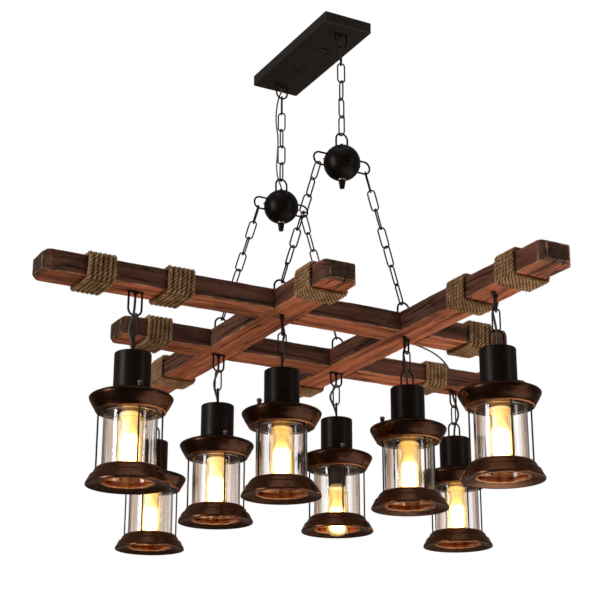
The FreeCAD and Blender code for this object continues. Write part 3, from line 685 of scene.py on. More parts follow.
def laid_rope_tree():
    """Laid rope: a lobed section swept along the path and turned by its lay, strewn with loose hairs."""
    nodes, given, result = node_group(
        "Laid rope", "GeometryNodeTree", "Geometry:Geometry Diameter:Float Lay:Float Strands:Float "
        "Groove:Float Sides:Int Step:Float Hairs:Float Hair:Float Finish:Material", "Geometry:Geometry")
    raw = nodes.geo("MeshToCurve", {"Mesh": given["Geometry"]})
    path = nodes.geo("ResampleCurve", {"Curve": raw, "Length": given["Step"]}, mode="LENGTH")
    length = nodes.geo("SplineParameter", output="Length")
    tilt = nodes.times(nodes.math("DIVIDE", length, given["Lay"]), 2 * math.pi)
    marked = nodes.store(nodes.geo("SetCurveTilt", {"Curve": path, "Tilt": tilt}), "along", length)
    spot = nodes.geo("InputPosition")
    parts = nodes.add("ShaderNodeSeparateXYZ", {0: spot}).outputs
    angle = nodes.math("ARCTAN2", parts["Y"], parts["X"])
    half_turns = nodes.times(nodes.times(angle, given["Strands"]), 0.5)
    crest = nodes.math("ABSOLUTE", nodes.math("COSINE", half_turns))
    share = nodes.minus(1.0, nodes.times(nodes.minus(1.0, crest), given["Groove"]))
    scaled = nodes.shade("VectorMath", {0: spot, "Scale": share}, operation="SCALE")
    lobed = nodes.geo("SetPosition", {
        "Geometry": nodes.circle(given["Sides"], given["Diameter"]), "Position": scaled})
    rope = nodes.sweep(marked, nodes.store(nodes.store(lobed, "around", angle), "crest", crest))
    spots = nodes.add("GeometryNodeDistributePointsOnFaces", {
        "Mesh": rope, "Density": given["Hairs"], "Seed": 3}).outputs
    bow = nodes.geo("CurveQuadraticBezier", {
        "Resolution": 3, "Start": (0, 0, -0.06), "Middle": (0.55, 0, 0.34), "End": (1.0, 0.14, 0.2)})
    sized = nodes.geo("Transform", {
        "Geometry": bow, "Scale": nodes.shade("CombineXYZ", {axis: given["Hair"] for axis in "XYZ"})})
    hair_ring = nodes.geo("CurvePrimitiveCircle", {
        "Resolution": 3, "Radius": nodes.times(given["Hair"], 0.028)})
    hair = nodes.store(nodes.sweep(sized, hair_ring), "crest", 1.0)
    hairs = nodes.geo("InstanceOnPoints", {
        "Points": spots["Points"], "Instance": hair, "Rotation": spots["Rotation"]})
    spin = nodes.add("FunctionNodeRandomValue", {
        0: (0, 0, 0), 1: (0, 0, 2 * math.pi)}, data_type="FLOAT_VECTOR").outputs[0]
    both = nodes.add("GeometryNodeJoinGeometry")
    for part in (nodes.geo("RotateInstances", {"Instances": hairs, "Rotation": spin}), rope):
        nodes.fill(both, {0: part})
    return finished(nodes, both.outputs[0], given["Finish"], result)


round_wire = round_wire_tree()
chain_link = chain_link_tree()
laid_rope = laid_rope_tree()


def swept(paths, diameter, sides, finish):
    """Round wire along each path."""
    return grown("wire", path_mesh(paths), round_wire, Diameter=diameter, Sides=sides, Finish=finish)


# Finishes

def mottle_group():
    """Uneven colour and fine bumps of a painted or rubbed surface."""
    nodes, given, result = node_group(
        "Mottle", "ShaderNodeTree", "Scale:Float Depth:Float", "Mask:Float Normal:Vector")
    place = nodes.place()
    broad = nodes.noise(place, given["Scale"], 4.0, 0.6)
    fine = nodes.noise(place, nodes.times(given["Scale"], 9.0))
    height = nodes.plus(nodes.times(broad, 0.4), fine)
    nodes.fill(result, {"Mask": nodes.ramp(broad, 0.35, 0.65), "Normal": nodes.bump(given["Depth"], height)})
    return nodes.tree


def rub_group():
    """Where edges and high places are rubbed through to the colour below."""
    nodes, given, result = node_group(
        "Rubbed edges", "ShaderNodeTree", "Wear:Float Scale:Float Share:Float", "Mask:Float")
    patches = nodes.noise(nodes.place(), given["Scale"], 5.0, 0.65)
    spread = nodes.plus(patches, nodes.times(given["Wear"], 0.45))
    low = nodes.minus(1.0, given["Share"])
    nodes.fill(result, {"Mask": nodes.ramp(spread, low, nodes.plus(low, 0.22))})
    return nodes.tree


def fibre_group():
    """Fine fibres that run along a cord or a strand, from its own length and turn."""
    nodes, given, result = node_group(
        "Fibres", "ShaderNodeTree", "Along:Float Around:Float Lay:Float Count:Float",
        "Mask:Float Patches:Float")
    turn = nodes.times(given["Around"], given["Count"])
    across = nodes.plus(turn, nodes.times(given["Along"], given["Lay"]))
    spot = nodes.shade("CombineXYZ", {"X": across, "Y": nodes.times(given["Along"], 90.0)})
    hairs = nodes.noise(spot, 1.0, 3.0, 0.7)
    patches = nodes.noise(nodes.place(), 55.0, 3.0)
    nodes.fill(result, {"Mask": nodes.ramp(hairs, 0.3, 0.7), "Patches": nodes.ramp(patches, 0.35, 0.65)})
    return nodes.tree


mottle = mottle_group()
rub = rub_group()
fibre = fibre_group()


def material(name):
    """A new material, its nodes and its surface shader."""
    made = bpy.data.materials.new(name)
    made.use_nodes = True
    return made, Nodes(made.node_tree), made.node_tree.nodes["Principled BSDF"]


def painted_metal(name, colour, rubbed, roughness, metallic, share, scale=60.0, depth=0.00025, lift=1.5,
                  shine=0.35):
    """Paint with an uneven tone, rubbed through to metal where its wear is high; a wear below zero darkens it
    as painted shade, and the highest wears paint lamp light as rubbed metal.
    """
    made, nodes, shader = material(name)
    tone = nodes.effect(mottle, Scale=scale, Depth=depth)
    wear = nodes.carried("wear")
    # The rubbed mask is real wear at most edges; where the lanterns' outlines give the highest wears it
    # paints the lamps' golden light.
    worn = nodes.effect(rub, Wear=wear, Scale=scale * 1.7, Share=share)["Mask"]
    base = nodes.blend(tone["Mask"], colour, [c * lift for c in colour])
    # Painted shade: a wear below zero darkens the colour towards near-black, on the caps' tops and the rings'
    # grooves and undersides.
    shaded = nodes.blend(nodes.ramp(wear, 0.0, -1.0), base, (0.006, 0.003, 0.002))
    rough = nodes.ramp(tone["Mask"], 0.0, 1.0, roughness, roughness + (lift - 1) * 0.2)
    nodes.fill(shader, {
        "Specular Tint": (1.0, 0.8, 0.7), "Base Color": nodes.blend(worn, shaded, rubbed),
        "Metallic": nodes.ramp(worn, 0.0, 1.0, metallic, min(1.0, metallic + 0.45)),
        "Roughness": nodes.plus(nodes.times(worn, 0.2), rough),
        "Normal": tone["Normal"], "Specular IOR Level": shine})
    return made


cup_black = painted_metal(
    "Satin black of the cups", (0.005, 0.0033, 0.0028), (0.05, 0.024, 0.012), 0.34, 0.0, 0.14,
    60.0, 0.00006, 1.4, 0.13)
# Where the outlines give the highest wears, the caps' and rings' rubbed colours paint the lamps' golden
# light.
cap_bronze = painted_metal(
    "Dark bronze of the caps", (0.026, 0.0105, 0.0055), (0.2, 0.08, 0.034), 0.25, 0.9, 0.1,
    60.0, 0.00006, 1.3)
ring_bronze = painted_metal(
    "Dark bronze of the base rings", (0.075, 0.03, 0.0145), (0.62, 0.31, 0.15), 0.24, 0.9, 0.09,
    60.0, 0.00006, 1.4)
rod_black = painted_metal(
    "Dark bronze of the rods", (0.016, 0.008, 0.005), (0.1, 0.045, 0.022), 0.32, 0.6, 0.25)
chain_bronze = painted_metal(
    "Dark bronze of the chains", (0.026, 0.0105, 0.0065), (0.15, 0.056, 0.03), 0.4, 0.5, 0.32, 90.0, 0.0001)
eye_bronze = painted_metal(
    "Dark bronze of the eyes", (0.006, 0.0034, 0.0026), (0.05, 0.022, 0.012), 0.34, 0.3, 0.25, 90.0, 0.00005)
ball_black = painted_metal(
    "Satin black of the balls", (0.004, 0.003, 0.0026), (0.02, 0.014, 0.01), 0.36, 0.0, 0.1,
    60.0, 0.000003, 1.08, 0.11)
plate_black = painted_metal(
    "Matt black of the ceiling plate", (0.007, 0.0052, 0.0046), (0.024, 0.018, 0.015), 0.42, 0.0, 0.16,
    60.0, 0.0001, 1.5, 0.3)
bright_steel = painted_metal(
    "Worn bright steel", (0.22, 0.19, 0.16), (0.5, 0.46, 0.4), 0.28, 0.9, 0.5, 120.0)
nut_steel = painted_metal(
    "Polished dark steel of the nuts", (0.05, 0.036, 0.03), (0.3, 0.24, 0.2), 0.18, 1.0, 0.3, 120.0)
zinc_steel = painted_metal(
    "Zinc-plated steel", (0.42, 0.42, 0.4), (0.6, 0.6, 0.58), 0.32, 0.85, 0.45, 70.0)
white_plastic = painted_metal(
    "White moulded plastic", (0.72, 0.72, 0.69), (0.78, 0.78, 0.76), 0.42, 0.0, 0.3, 40.0, 0.00012, 1.05)
holder_black = painted_metal(
    "Black moulded lamp holder", (0.01, 0.008, 0.007), (0.04, 0.02, 0.012), 0.42, 0.0, 0.15, 60.0)


def wire_sheath(name, colour, light, roughness, coat):
    """The smooth sheath of a wire, with a faint tone along it."""
    made, nodes, shader = material(name)
    tone = nodes.effect(mottle, Scale=130.0, Depth=0.0001)
    nodes.fill(shader, {
        "Base Color": nodes.blend(tone["Mask"], colour, light),
        "Roughness": nodes.ramp(tone["Mask"], 0.0, 1.0, roughness, roughness + 0.12),
        "Normal": tone["Normal"], "Coat Weight": coat, "Coat Roughness": 0.2})
    return made


def rope_fibre():
    """Tan jute: fibres laid along each strand, with painted shade in the grooves between strands and the pale
    colour on the crests.
    """
    made, nodes, shader = material("Twisted jute")
    hairs = nodes.effect(fibre, Along=nodes.carried("along"), Around=nodes.carried("around"),
                         Lay=-650.0, Count=4.0)
    pale = nodes.blend(hairs["Patches"], (0.42, 0.21, 0.085), (0.8, 0.5, 0.26))
    streaks = nodes.blend(hairs["Mask"], (0.1, 0.044, 0.017), pale)
    # Painted shade: the grooves between strands are darkened to near-black.
    groove = nodes.ramp(nodes.carried("crest"), 0.1, 0.75)
    nodes.fill(shader, {
        "Base Color": nodes.blend(groove, (0.035, 0.015, 0.006), streaks), "Roughness": 0.9,
        "Normal": nodes.bump(0.0007, hairs["Mask"]), "Specular IOR Level": 0.1})
    return made


def hewn_timber():
    """Hewn and stained wood: greyish brown sides, a reddish stained underside painted lighter and redder as
    lamp light from below, checks and splits darkened as painted shade, and pale worn edges.
    """
    made, nodes, shader = material("Hewn stained timber")
    wood = nodes.carried("wood", "Vector")
    facing = nodes.add("ShaderNodeSeparateXYZ", {0: nodes.carried("facing", "Vector")}).outputs
    grain = nodes.noise(nodes.stretched(wood, (5.0, 70.0, 70.0)), 1.0, 6.0, 0.6, 0.4)
    fibres = nodes.noise(nodes.stretched(wood, (25.0, 420.0, 420.0)), 1.0, 3.0, 0.6)
    blotch = nodes.noise(wood, 11.0, 4.0, 0.6)
    checks = nodes.noise(nodes.stretched(wood, (2.2, 34.0, 34.0)), 1.0, 5.0, 0.55, 0.25)
    # Painted shade: thin checks, and the splits' crack value, darken the wood to near-black.
    thin_split = nodes.ramp(nodes.math("ABSOLUTE", nodes.minus(checks, 0.5)), 0.0, 0.012, 1.0, 0.0)
    split = nodes.times(thin_split, nodes.ramp(blotch, 0.42, 0.55))
    dark = nodes.math("MAXIMUM", split, nodes.carried("crack"))
    light_grain = nodes.ramp(grain, 0.35, 0.65)
    side = nodes.blend(light_grain, (0.026, 0.0085, 0.005), (0.16, 0.054, 0.03))
    # Painted light: besides being stained reddish, the underside is painted far lighter than the sides for
    # the lamps' warm light from below.
    under = nodes.blend(light_grain, (0.18, 0.045, 0.018), (0.58, 0.172, 0.07))
    down = nodes.ramp(facing["Z"], -0.6, -0.97)
    base = nodes.blend(down, side, under)
    grey = nodes.blend(nodes.ramp(blotch, 0.46, 0.72), base, (0.108, 0.051, 0.031))
    weathered = nodes.blend(nodes.times(down, 0.8), grey, base)
    end_grain = nodes.blend(nodes.ramp(fibres, 0.35, 0.65), (0.012, 0.007, 0.004), (0.075, 0.044, 0.024))
    at_end = nodes.ramp(nodes.math("ABSOLUTE", facing["X"]), 0.1, 0.8, 0.0, 0.85)
    ended = nodes.blend(at_end, weathered, end_grain)
    worn = nodes.effect(rub, Wear=nodes.carried("edge"), Scale=45.0, Share=0.2)["Mask"]
    rubbed = nodes.blend(worn, ended, (0.36, 0.21, 0.115))
    streaked = nodes.blend(nodes.ramp(fibres, 0.4, 0.75, 0.0, 0.5), rubbed, (0.045, 0.022, 0.015))
    relief = nodes.minus(nodes.plus(grain, nodes.times(fibres, 0.4)), nodes.times(dark, 0.9))
    nodes.fill(shader, {
        "Base Color": nodes.blend(dark, streaked, (0.012, 0.006, 0.004)),
        "Roughness": nodes.ramp(grain, 0.3, 0.7, 0.72, 0.56),
        "Normal": nodes.bump(0.003, relief), "Specular IOR Level": 0.12})
    return made


def clear_glass(name, tint, roughness, streak, glow):
    """Clear glass whose shadow stays light; on the tube, darker bands are painted reflections, and a glowing
    lamp's glass is tinted at its rim.
    """
    made, nodes, shader = material(name)
    waves = nodes.noise(nodes.stretched(nodes.place(), (160.0, 160.0, 6.0)), 1.0)
    if glow:
        mask = nodes.ramp(nodes.shade("LayerWeight", {"Blend": 0.5}, "Facing"), 0.5, 0.95)
    else:
        # Painted reflection: vertical bands fixed round the glass stand for the reflections that streak the
        # tube.
        bands = nodes.noise(nodes.stretched(nodes.carried("place", "Vector"), (55.0, 55.0, 1.5)), 1.0)
        mask = nodes.ramp(bands, 0.5, 0.6)
    nodes.fill(shader, {
        "Base Color": nodes.blend(mask, tint, streak), "Roughness": roughness, "IOR": 1.46,
        "Transmission Weight": 1.0, "Emission Color": (1.0, 0.6, 0.1), "Emission Strength": glow,
        "Normal": nodes.bump(0.0003, waves)})
    mixed = nodes.shade("MixShader", {
        0: nodes.shade("LightPath", output="Is Shadow Ray"), 1: shader.outputs[0],
        2: nodes.shade("BsdfTransparent", {"Color": tint})})
    nodes.fill(made.node_tree.nodes["Material Output"], {"Surface": mixed})
    return made


def lamp_glow():
    """The lit lamp: amber at its neck and at its edges, then yellow, then white."""
    made, nodes, shader = material("Lit lamp")
    colours = nodes.add("ShaderNodeValToRGB", {"Fac": nodes.carried("glow")})
    stops = colours.color_ramp.elements
    stops[0].position, stops[0].color = 0.0, (0.02, 0.006, 0.0003, 1)
    stops[1].position, stops[1].color = 1.0, (0.1, 0.05, 0.013, 1)
    for position, colour in ((0.05, (0.058, 0.03, 0.0008)), (0.14, (0.036, 0.0145, 0.0004)),
                             (0.24, (0.034, 0.0135, 0.0003)), (0.34, (0.06, 0.031, 0.0028)),
                             (0.44, (0.13, 0.08, 0.022)), (0.6, (1.0, 0.68, 0.32)),
                             (0.93, (1.0, 0.66, 0.3))):
        stops.new(position).color = (*colour, 1)
    rim = nodes.ramp(nodes.shade("LayerWeight", {"Blend": 0.5}, "Facing"), 0.2, 0.52)
    edge = nodes.blend(1.0, colours.outputs[0], (0.13, 0.07, 0.02), "MULTIPLY")
    nodes.fill(shader, {
        "Base Color": (0.9, 0.8, 0.6), "Roughness": 0.35, "Emission Strength": 16.0,
        "Emission Color": nodes.blend(rim, colours.outputs[0], edge)})
    return made


black_sheath = wire_sheath("Black wire sheath", (0.012, 0.009, 0.008), (0.03, 0.02, 0.015), 0.38, 0.2)
smoky_sheath = wire_sheath("Smoky wire sheath", (0.1, 0.06, 0.04), (0.19, 0.13, 0.09), 0.3, 0.5)
jute = rope_fibre()
timber_finish = hewn_timber()
# The streak colour paints darker reflections in vertical bands round the tube.
tube_glass = clear_glass(
    "Clear glass of the lanterns", (0.985, 0.972, 0.96), 0.0, (0.66, 0.52, 0.42), 0.0)
lamp_glass = clear_glass("Thin glass of the lamps", (1.0, 0.96, 0.84), 0.05, (0.94, 0.68, 0.34), 0.07)
lamp_light = lamp_glow()


# Camera and the cord that bridges the frame

def set_camera():
    camera = shown("camera", bpy.data.cameras.new("camera"))
    camera.data.sensor_width = 36
    camera.data.lens = camera_lens
    camera.location = camera_place
    look = Matrix.Rotation(camera_yaw, 4, "Z") @ Matrix.Rotation(math.pi / 2 + camera_pitch, 4, "X")
    camera.rotation_euler = (look @ Matrix.Rotation(camera_roll, 4, "Z")).to_euler()
    bpy.context.scene.camera = camera


def feed_cord():
    route = [Vector((x * MM, y * MM, frame_top + z * MM)) for x, y, z in feed_route]
    curve = curve_along("feed_cord", route, 10)
    curve.bevel_depth = feed_diameter / 2
    curve.bevel_resolution = 3
    curve.use_fill_caps = True
    curve.materials.append(black_sheath)
    cord = put("feed_cord_sheath", curve, "timber_frame", nodes=("feed_cord",))


set_camera()
feed_cord()


# Hewn timbers

timber_left = -half_crossing - long_arm
timber_right = half_crossing + short_arm
timber_middle = (frame_under + frame_top) / 2
shaded_end_start = -half_crossing - wrap_outer_reach - shaded_end_fade
half_wide = (front_high.y - front_low.y) / 2
half_tall = (frame_top - frame_under) / 2


def outline_round_timber():
    """Places on the sharp section, one every side step, as (across, up) with the face's name."""
    places = []
    corners = ((-half_wide, -half_tall, "under"), (half_wide, -half_tall, "back"),
               (half_wide, half_tall, "top"), (-half_wide, half_tall, "front"))
    for k, (y, z, face) in enumerate(corners):
        next_y, next_z, _ = corners[(k + 1) % 4]
        count = round(math.hypot(next_y - y, next_z - z) / side_step)
        for i in range(count):
            share = (i + 0.5) / count
            places.append((y + (next_y - y) * share, z + (next_z - z) * share, face))
    return places


def timber_stations():
    """Places along the timber, close together at its ends, and doubled at the laps' walls."""
    lap = half_wide + lap_gap
    walls = sorted(side * half_crossing + end * lap for side in (-1, 1) for end in (-1, 1))
    stations = []
    s = timber_left
    while s < timber_right - side_step / 2:
        near_end = min(s - timber_left, timber_right - s) < end_cut_along
        stations.append((s, walls[0] < s < walls[1] or walls[2] < s < walls[3]))
        s += side_step if near_end else station_step
    stations.append((timber_right, False))
    stations = [(s, lapped) for s, lapped in stations if all(abs(s - w) > lap_clearance for w in walls)]
    for k, wall in enumerate(walls):
        stations += [(wall - lap_split, k % 2 == 1), (wall + lap_split, k % 2 == 0)]
    return sorted(stations)


def nearest_corner(around, split):
    """The corner of the section where a split opens."""
    face, across = split[0], split[1] * MM
    level = 0 if face in ("under", "top") else 1
    on_face = (i for i in range(len(around)) if around[i][2] == face)
    return min(on_face, key=lambda i: abs(around[i][level] - across))


def split_strength(split, s):
    """How open a split is at a place along the timber."""
    start, end = split[2] * MM, split[3] * MM
    if not start < s < end:
        return 0.0
    share = (s - start) / (end - start)
    return min(1.0, 6 * min(share, 1 - share)) * (0.7 + 0.3 * noise.noise(Vector((s * 40, split[1], 0))))


def opened_corners(splits, s, seed, count):
    """The corners that splits move at a place along the timber: shift, depth and darkness."""
    opened = {}
    for index, split in splits:
        strength = split_strength(split, s)
        if not strength:
            continue
        drift = split_drift * noise.noise(Vector((s * 9, split[1] * 0.7, seed)))
        for step in range(-split_spread, split_spread + 1):
            shift = drift * (1 - abs(step) / (split_spread + 1))
            if step in (-1, 1):
                shift -= step * split_lip
            crack = strength if step == 0 else 0
            opened[(index + step) % count] = (shift, split[4] * MM * crack, crack)
    return opened


def timber_mesh(name, keeps_top, seed):
    """One hewn timber along X, with worn corners, cut ends, half laps and splits."""
    around = outline_round_timber()
    stations = timber_stations()
    count = len(around)
    splits = [(nearest_corner(around, split), split) for split in timber_splits[name]]
    corners, faces, wood, facing, edge, crack_values = [], [], [], [], [], []
    offset = Vector((seed * 3.7, seed * 1.3, seed * 2.9))

    def add(*values):
        for row, value in zip((corners, wood, facing, edge, crack_values), values):
            row.append(value)

    for s, lapped in stations:
        to_end = min(s - timber_left, timber_right - s)
        wide = half_wide - end_cut_across * max(0, 1 - to_end / end_cut_along)
        tall = half_tall - end_slope_down * max(0, 1 - to_end / end_slope_along)
        opened = opened_corners(splits, s, seed, count)
        for i, (y, z, face) in enumerate(around):
            shift, deep, crack = opened.get(i, (0, 0, 0))
            level = face in ("under", "top")
            if level:
                y += shift if face == "under" else -shift
            else:
                z += shift if face == "back" else -shift
            y *= wide / half_wide
            z *= tall / half_tall
            near = noise.noise(Vector((s * 14, seed, 5 * (y > 0) + 9 * (z > 0))))
            worn = corner_round * (1.15 + 0.6 * near)
            inner_y = max(-(wide - worn), min(wide - worn, y))
            inner_z = max(-(tall - worn), min(tall - worn, z))
            out = Vector((0, y - inner_y, z - inner_z))
            cornered = min(abs(out.y), abs(out.z)) / worn
            out = out.normalized()
            flat = noise.noise(Vector((s * 11, out.y * 1.7, out.z * 1.7)) + offset)
            hollow = noise.noise(Vector((s * 27, y * 60, z * 60)) + offset)
            fine = noise.noise(Vector((s * 60, y * 330, z * 330)) + offset)
            inward = hewn_depth * (0.32 + 0.36 * flat + 0.24 * hollow) + fine_depth * fine
            spot = Vector((s, inner_y, inner_z)) + out * (worn - max(0, inward) - deep)
            where = Vector((spot.x, spot.y - half_crossing, spot.z + timber_middle))
            if lapped:
                where.z = (max if keeps_top else min)(where.z, timber_middle)
            # Painted shade: near the long end the underside's facing is tipped, so it takes the darker colour
            # of the sides.
            painted_end_shade = min(1, max(0, (shaded_end_start - s) / shaded_end_fade)) * (0.24 + 0.2 * flat)
            cut = end_slope_along if level else end_cut_along
            wear = max(0, 1 - to_end / end_rub_length, 1 - abs(to_end - cut) / end_rub_length,
                       min(1.0, cornered * 3.0))
            way = Vector((max(0, 1 - to_end / end_cut_along), out.y, out.z * (1 - painted_end_shade)))
            add(where, spot + offset, way, wear * (1 - crack), crack)
    last = len(stations) - 1
    for k in range(last):
        faces += band(k * count, (k + 1) * count, count)
    for row, side in ((0, 1), (last, -1)):
        ring = [row * count + i for i in range(count)]
        middle = sum((corners[i] for i in ring), Vector()) / count
        for share in (0.8, 0.5, 0.22):
            first = len(corners)
            for i in range(count):
                spot = middle + (corners[row * count + i] - middle) * share
                rough = noise.noise(Vector((spot.y * 120, spot.z * 120, seed)))
                spot.x += side * (0.7 + 0.6 * rough) * end_hollow
                # Painted shade: the end face's crack value darkens its deeper hollows.
                add(spot, Vector((spot.x, spot.y + half_crossing, spot.z - timber_middle)) + offset,
                    Vector((-side, 0, 0)), 0.0, max(0.0, rough - 0.45))
            for i in range(count):
                j = (i + 1) % count
                faces.append((ring[i], first + i, first + j, ring[j])[::side])
            ring = [first + i for i in range(count)]
        add(middle + ACROSS * side * end_hollow, Vector((middle.x, 0, 0)) + offset,
            Vector((-side, 0, 0)), 0.0, 0.0)
        for i in range(count):
            faces.append((ring[i], len(corners) - 1, ring[(i + 1) % count])[::side])
    turn = timber_turns[name]
    return outward(mesh_of([turned(c, turn) for c in corners], faces,
                           wood=wood, facing=facing, edge=edge, crack=crack_values))


def make_timbers():
    for seed, (name, keeps_top) in enumerate((
            ("front_beam", True), ("right_beam", False), ("back_beam", True), ("left_beam", False))):
        mesh = timber_mesh(name, keeps_top, seed + 1)
        mesh.set_sharp_from_angle(angle=math.radians(60))
        put(name.replace("beam", "timber"), mesh, "timber_frame", timber_finish, (name,))


# Rope windings

wrap_centres = (-half_crossing - wrap_outer_reach, -half_crossing - wrap_inner_reach,
                half_crossing + wrap_short_reach)
rope_out = rope_seat_gap + rope_diameter / 2


def place_round(there, straight_y, straight_z, quarter):
    """A place on the rounded outline, a way along it from the middle of the top."""
    for kind, length in enumerate((straight_y, quarter, 2 * straight_z, quarter, 2 * straight_y,
                                   quarter, 2 * straight_z, quarter, straight_y)):
        if there <= length:
            break
        there -= length
    turn = there / rope_corner
    sine, cosine = rope_corner * math.sin(turn), rope_corner * math.cos(turn)
    return (
        (there, straight_z + rope_corner),
        (straight_y + sine, straight_z + cosine),
        (straight_y + rope_corner, straight_z - there),
        (straight_y + cosine, -straight_z - sine),
        (straight_y - there, -straight_z - rope_corner),
        (-straight_y - sine, -straight_z - cosine),
        (-straight_y - rope_corner, -straight_z + there),
        (-straight_y - cosine, straight_z + sine),
        (-straight_y + there, straight_z + rope_corner),
    )[kind]


def winding_path(centre, dice):
    """The line of one winding about the front timber, with turns that are never quite alike."""
    straight_y, straight_z = half_wide + rope_out - rope_corner, half_tall + rope_out - rope_corner
    quarter = math.pi / 2 * rope_corner
    girth = 4 * (straight_y + straight_z + quarter)
    pitch = rope_diameter + rope_turn_gap
    phase = dice.uniform(0, 50)
    points = []
    total = girth * rope_turns
    for k in range(int(total / rope_step) + 1):
        travelled = k * rope_step
        y, z = place_round(travelled % girth, straight_y, straight_z, quarter)
        sway = rope_sway * noise.noise(Vector((travelled * 9, phase, 0)))
        sink = -rope_sink * abs(noise.noise(Vector((travelled * 14, phase, 7))))
        out = Vector((0, y, z)).normalized() * sink
        along = centre - total / girth * pitch / 2 + pitch * travelled / girth
        points.append(Vector((along + sway, y - half_crossing + out.y, timber_middle + z + out.z)))
    return points


def make_ropes():
    dice = random.Random(7)
    for name, turn in timber_turns.items():
        paths = [[turned(p, turn) for p in winding_path(centre, dice)] for centre in wrap_centres]
        mesh = grown("rope", path_mesh(paths), laid_rope, Diameter=rope_diameter, Lay=rope_lay, Strands=3.0,
                     Groove=0.27, Sides=18, Step=rope_step, Hairs=hairs_per_area, Hair=hair_length,
                     Finish=jute)
        put(name.replace("beam", "rope"), mesh, "timber_frame",
            nodes=() if turn else ("rope_wraps",))


# Chains, eyes and their small fittings

def facing_turn(side, along):
    """The turn that lays X on side and Z on along, as Euler angles."""
    return Matrix((side, along.cross(side), along)).transposed().to_euler()


def link_points(start, end, turns, in_plane):
    """Centres and turns of the links from one wire to the next."""
    along = (end - start).normalized()
    other = along.cross(in_plane)
    top = start - along * link_contact
    links = []
    for angle in arc(turns):
        side = in_plane * math.cos(angle) + other * math.sin(angle)
        links.append((top + along * (link_reach / 2), facing_turn(side, along)))
        top = top + along * link_step
    return links


def links_piece(name, body, links, node=None, wire=link_wire):
    points = mesh_of([centre for centre, _ in links], [], False, turn=[Vector(turn) for _, turn in links])
    mesh = grown(name, points, chain_link, Wire=wire, Length=link_length, Width=link_width,
                 Steps=28, Sides=12, Finish=chain_bronze)
    put(name, mesh, body, nodes=(node or body,))


def eye_line(foot, along, side, height, seat):
    """The middle of a wire eye: a leg, a round top and a leg."""
    centre = height - eye_wire / 2 - eye_bend
    top = [foot + side * eye_bend * math.cos(a) + along * (centre + eye_bend * math.sin(a))
           for a in (math.pi * k / 16 for k in range(17))]
    return [foot + side * eye_bend + along * seat, *top, foot - side * eye_bend + along * seat]


def nipple_rings(foot, along, side):
    """Hex nipple: a chamfered nut under a round tip."""
    other = along.cross(side)
    rings = []
    for height, size, square in nipple_ring_shares:
        ring = []
        for i in range(24):
            angle = 2 * math.pi * i / 24
            from_flat = (angle + math.pi / 6) % (math.pi / 3) - math.pi / 6
            hexed = math.cos(math.pi / 6) / math.cos(from_flat)
            reach = nipple_diameter / 2 * size * (1 + (hexed - 1) * square)
            ring.append(foot + along * nipple_height * height
                        + (side * math.cos(angle) + other * math.sin(angle)) * reach)
        rings.append(ring)
    return stacked(rings)


def strip_rings(foot, along, side):
    """The small strip under an eye, with rounded ends and soft edges."""
    other = along.cross(side)
    straight = eye_width / 2 + eye_strip_overhang - eye_strip_corner
    wide = eye_strip_width / 2 - eye_strip_corner
    rings = []
    for height, inset in ((0, 0.0), (0.7, 0.0), (0.92, 0.25), (1.0, 0.6)):
        reach = eye_strip_corner - inset * MM
        rings.append([foot + along * eye_strip_thickness * height
                      + side * (x_sign * straight + reach * math.cos(angle))
                      + other * (y_sign * wide + reach * math.sin(angle))
                      for x_sign, y_sign, angle in rounded_corners(4)])
    return stacked(rings)


class Eyes:
    """Collects the wire eyes, strips and nipples of one body, then makes one mesh of them."""

    def __init__(self):
        self.lines = []
        self.corners = []
        self.faces = []

    def add_shape(self, corners, faces):
        first = len(self.corners)
        self.corners += corners
        self.faces += [tuple(first + i for i in face) for face in faces]

    def add(self, foot, along, side, height, seat=eye_strip_thickness, nipple_at=None):
        if nipple_at is None:
            self.add_shape(*strip_rings(foot, along, side))
            nipple_at = seat
        self.lines.append(eye_line(foot, along, side, height, seat))
        self.add_shape(*nipple_rings(foot + along * nipple_at, along, side))

    def mesh(self, wire=eye_wire, nipple_finish=eye_bronze):
        fittings = outward(mesh_of(self.corners, self.faces))
        fittings.set_sharp_from_angle(angle=math.radians(32))
        fittings.materials.append(nipple_finish)
        return joined([swept(self.lines, wire, 14, eye_bronze), fittings])


def make_chains():
    near, far = (link_points(BACKWARD * sign * hook_y + UP * hook_bend_z,
                             BACKWARD * sign * hook_y + UP * ball_eye_z, turns, ACROSS)
                 for sign, turns in ((-1, upper_near_turns), (1, upper_far_turns)))
    links_piece("upper_first_links", "top_links", [near[0], far[0]])
    links_piece("near_upper_links", "near_upper_chain", near[1:])
    links_piece("far_upper_links", "far_upper_chain", far[1:])
    lower = []
    frame_bend_z = frame_top + frame_eye_height - eye_wire / 2 - eye_bend
    ball_bend_x = ball_radius + ball_eye_height - eye_wire / 2 - eye_bend
    for (row, side_sign), turns in lower_turns.items():
        ball_bend = Vector((side_sign * ball_bend_x, row * hook_y, ball_z))
        frame_bend = Vector((side_sign * half_crossing, row * hook_y, frame_bend_z))
        along = (frame_bend - ball_bend).normalized()
        lower += link_points(ball_bend + along * eye_bend, frame_bend - along * eye_bend, turns,
                             BACKWARD.cross(along).normalized())
    links_piece("lower_chain_links", "timber_frame", lower, "lower_chains")
    for number, lantern in lanterns.items():
        body = f"lantern_{number}_link"
        low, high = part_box(body)
        link = ((low + high) / 2, facing_turn(turned(ACROSS, lantern.link), UP))
        links_piece(f"lantern_{number}_chain_link", body, [link], wire=link_wire * swing_wire_share)


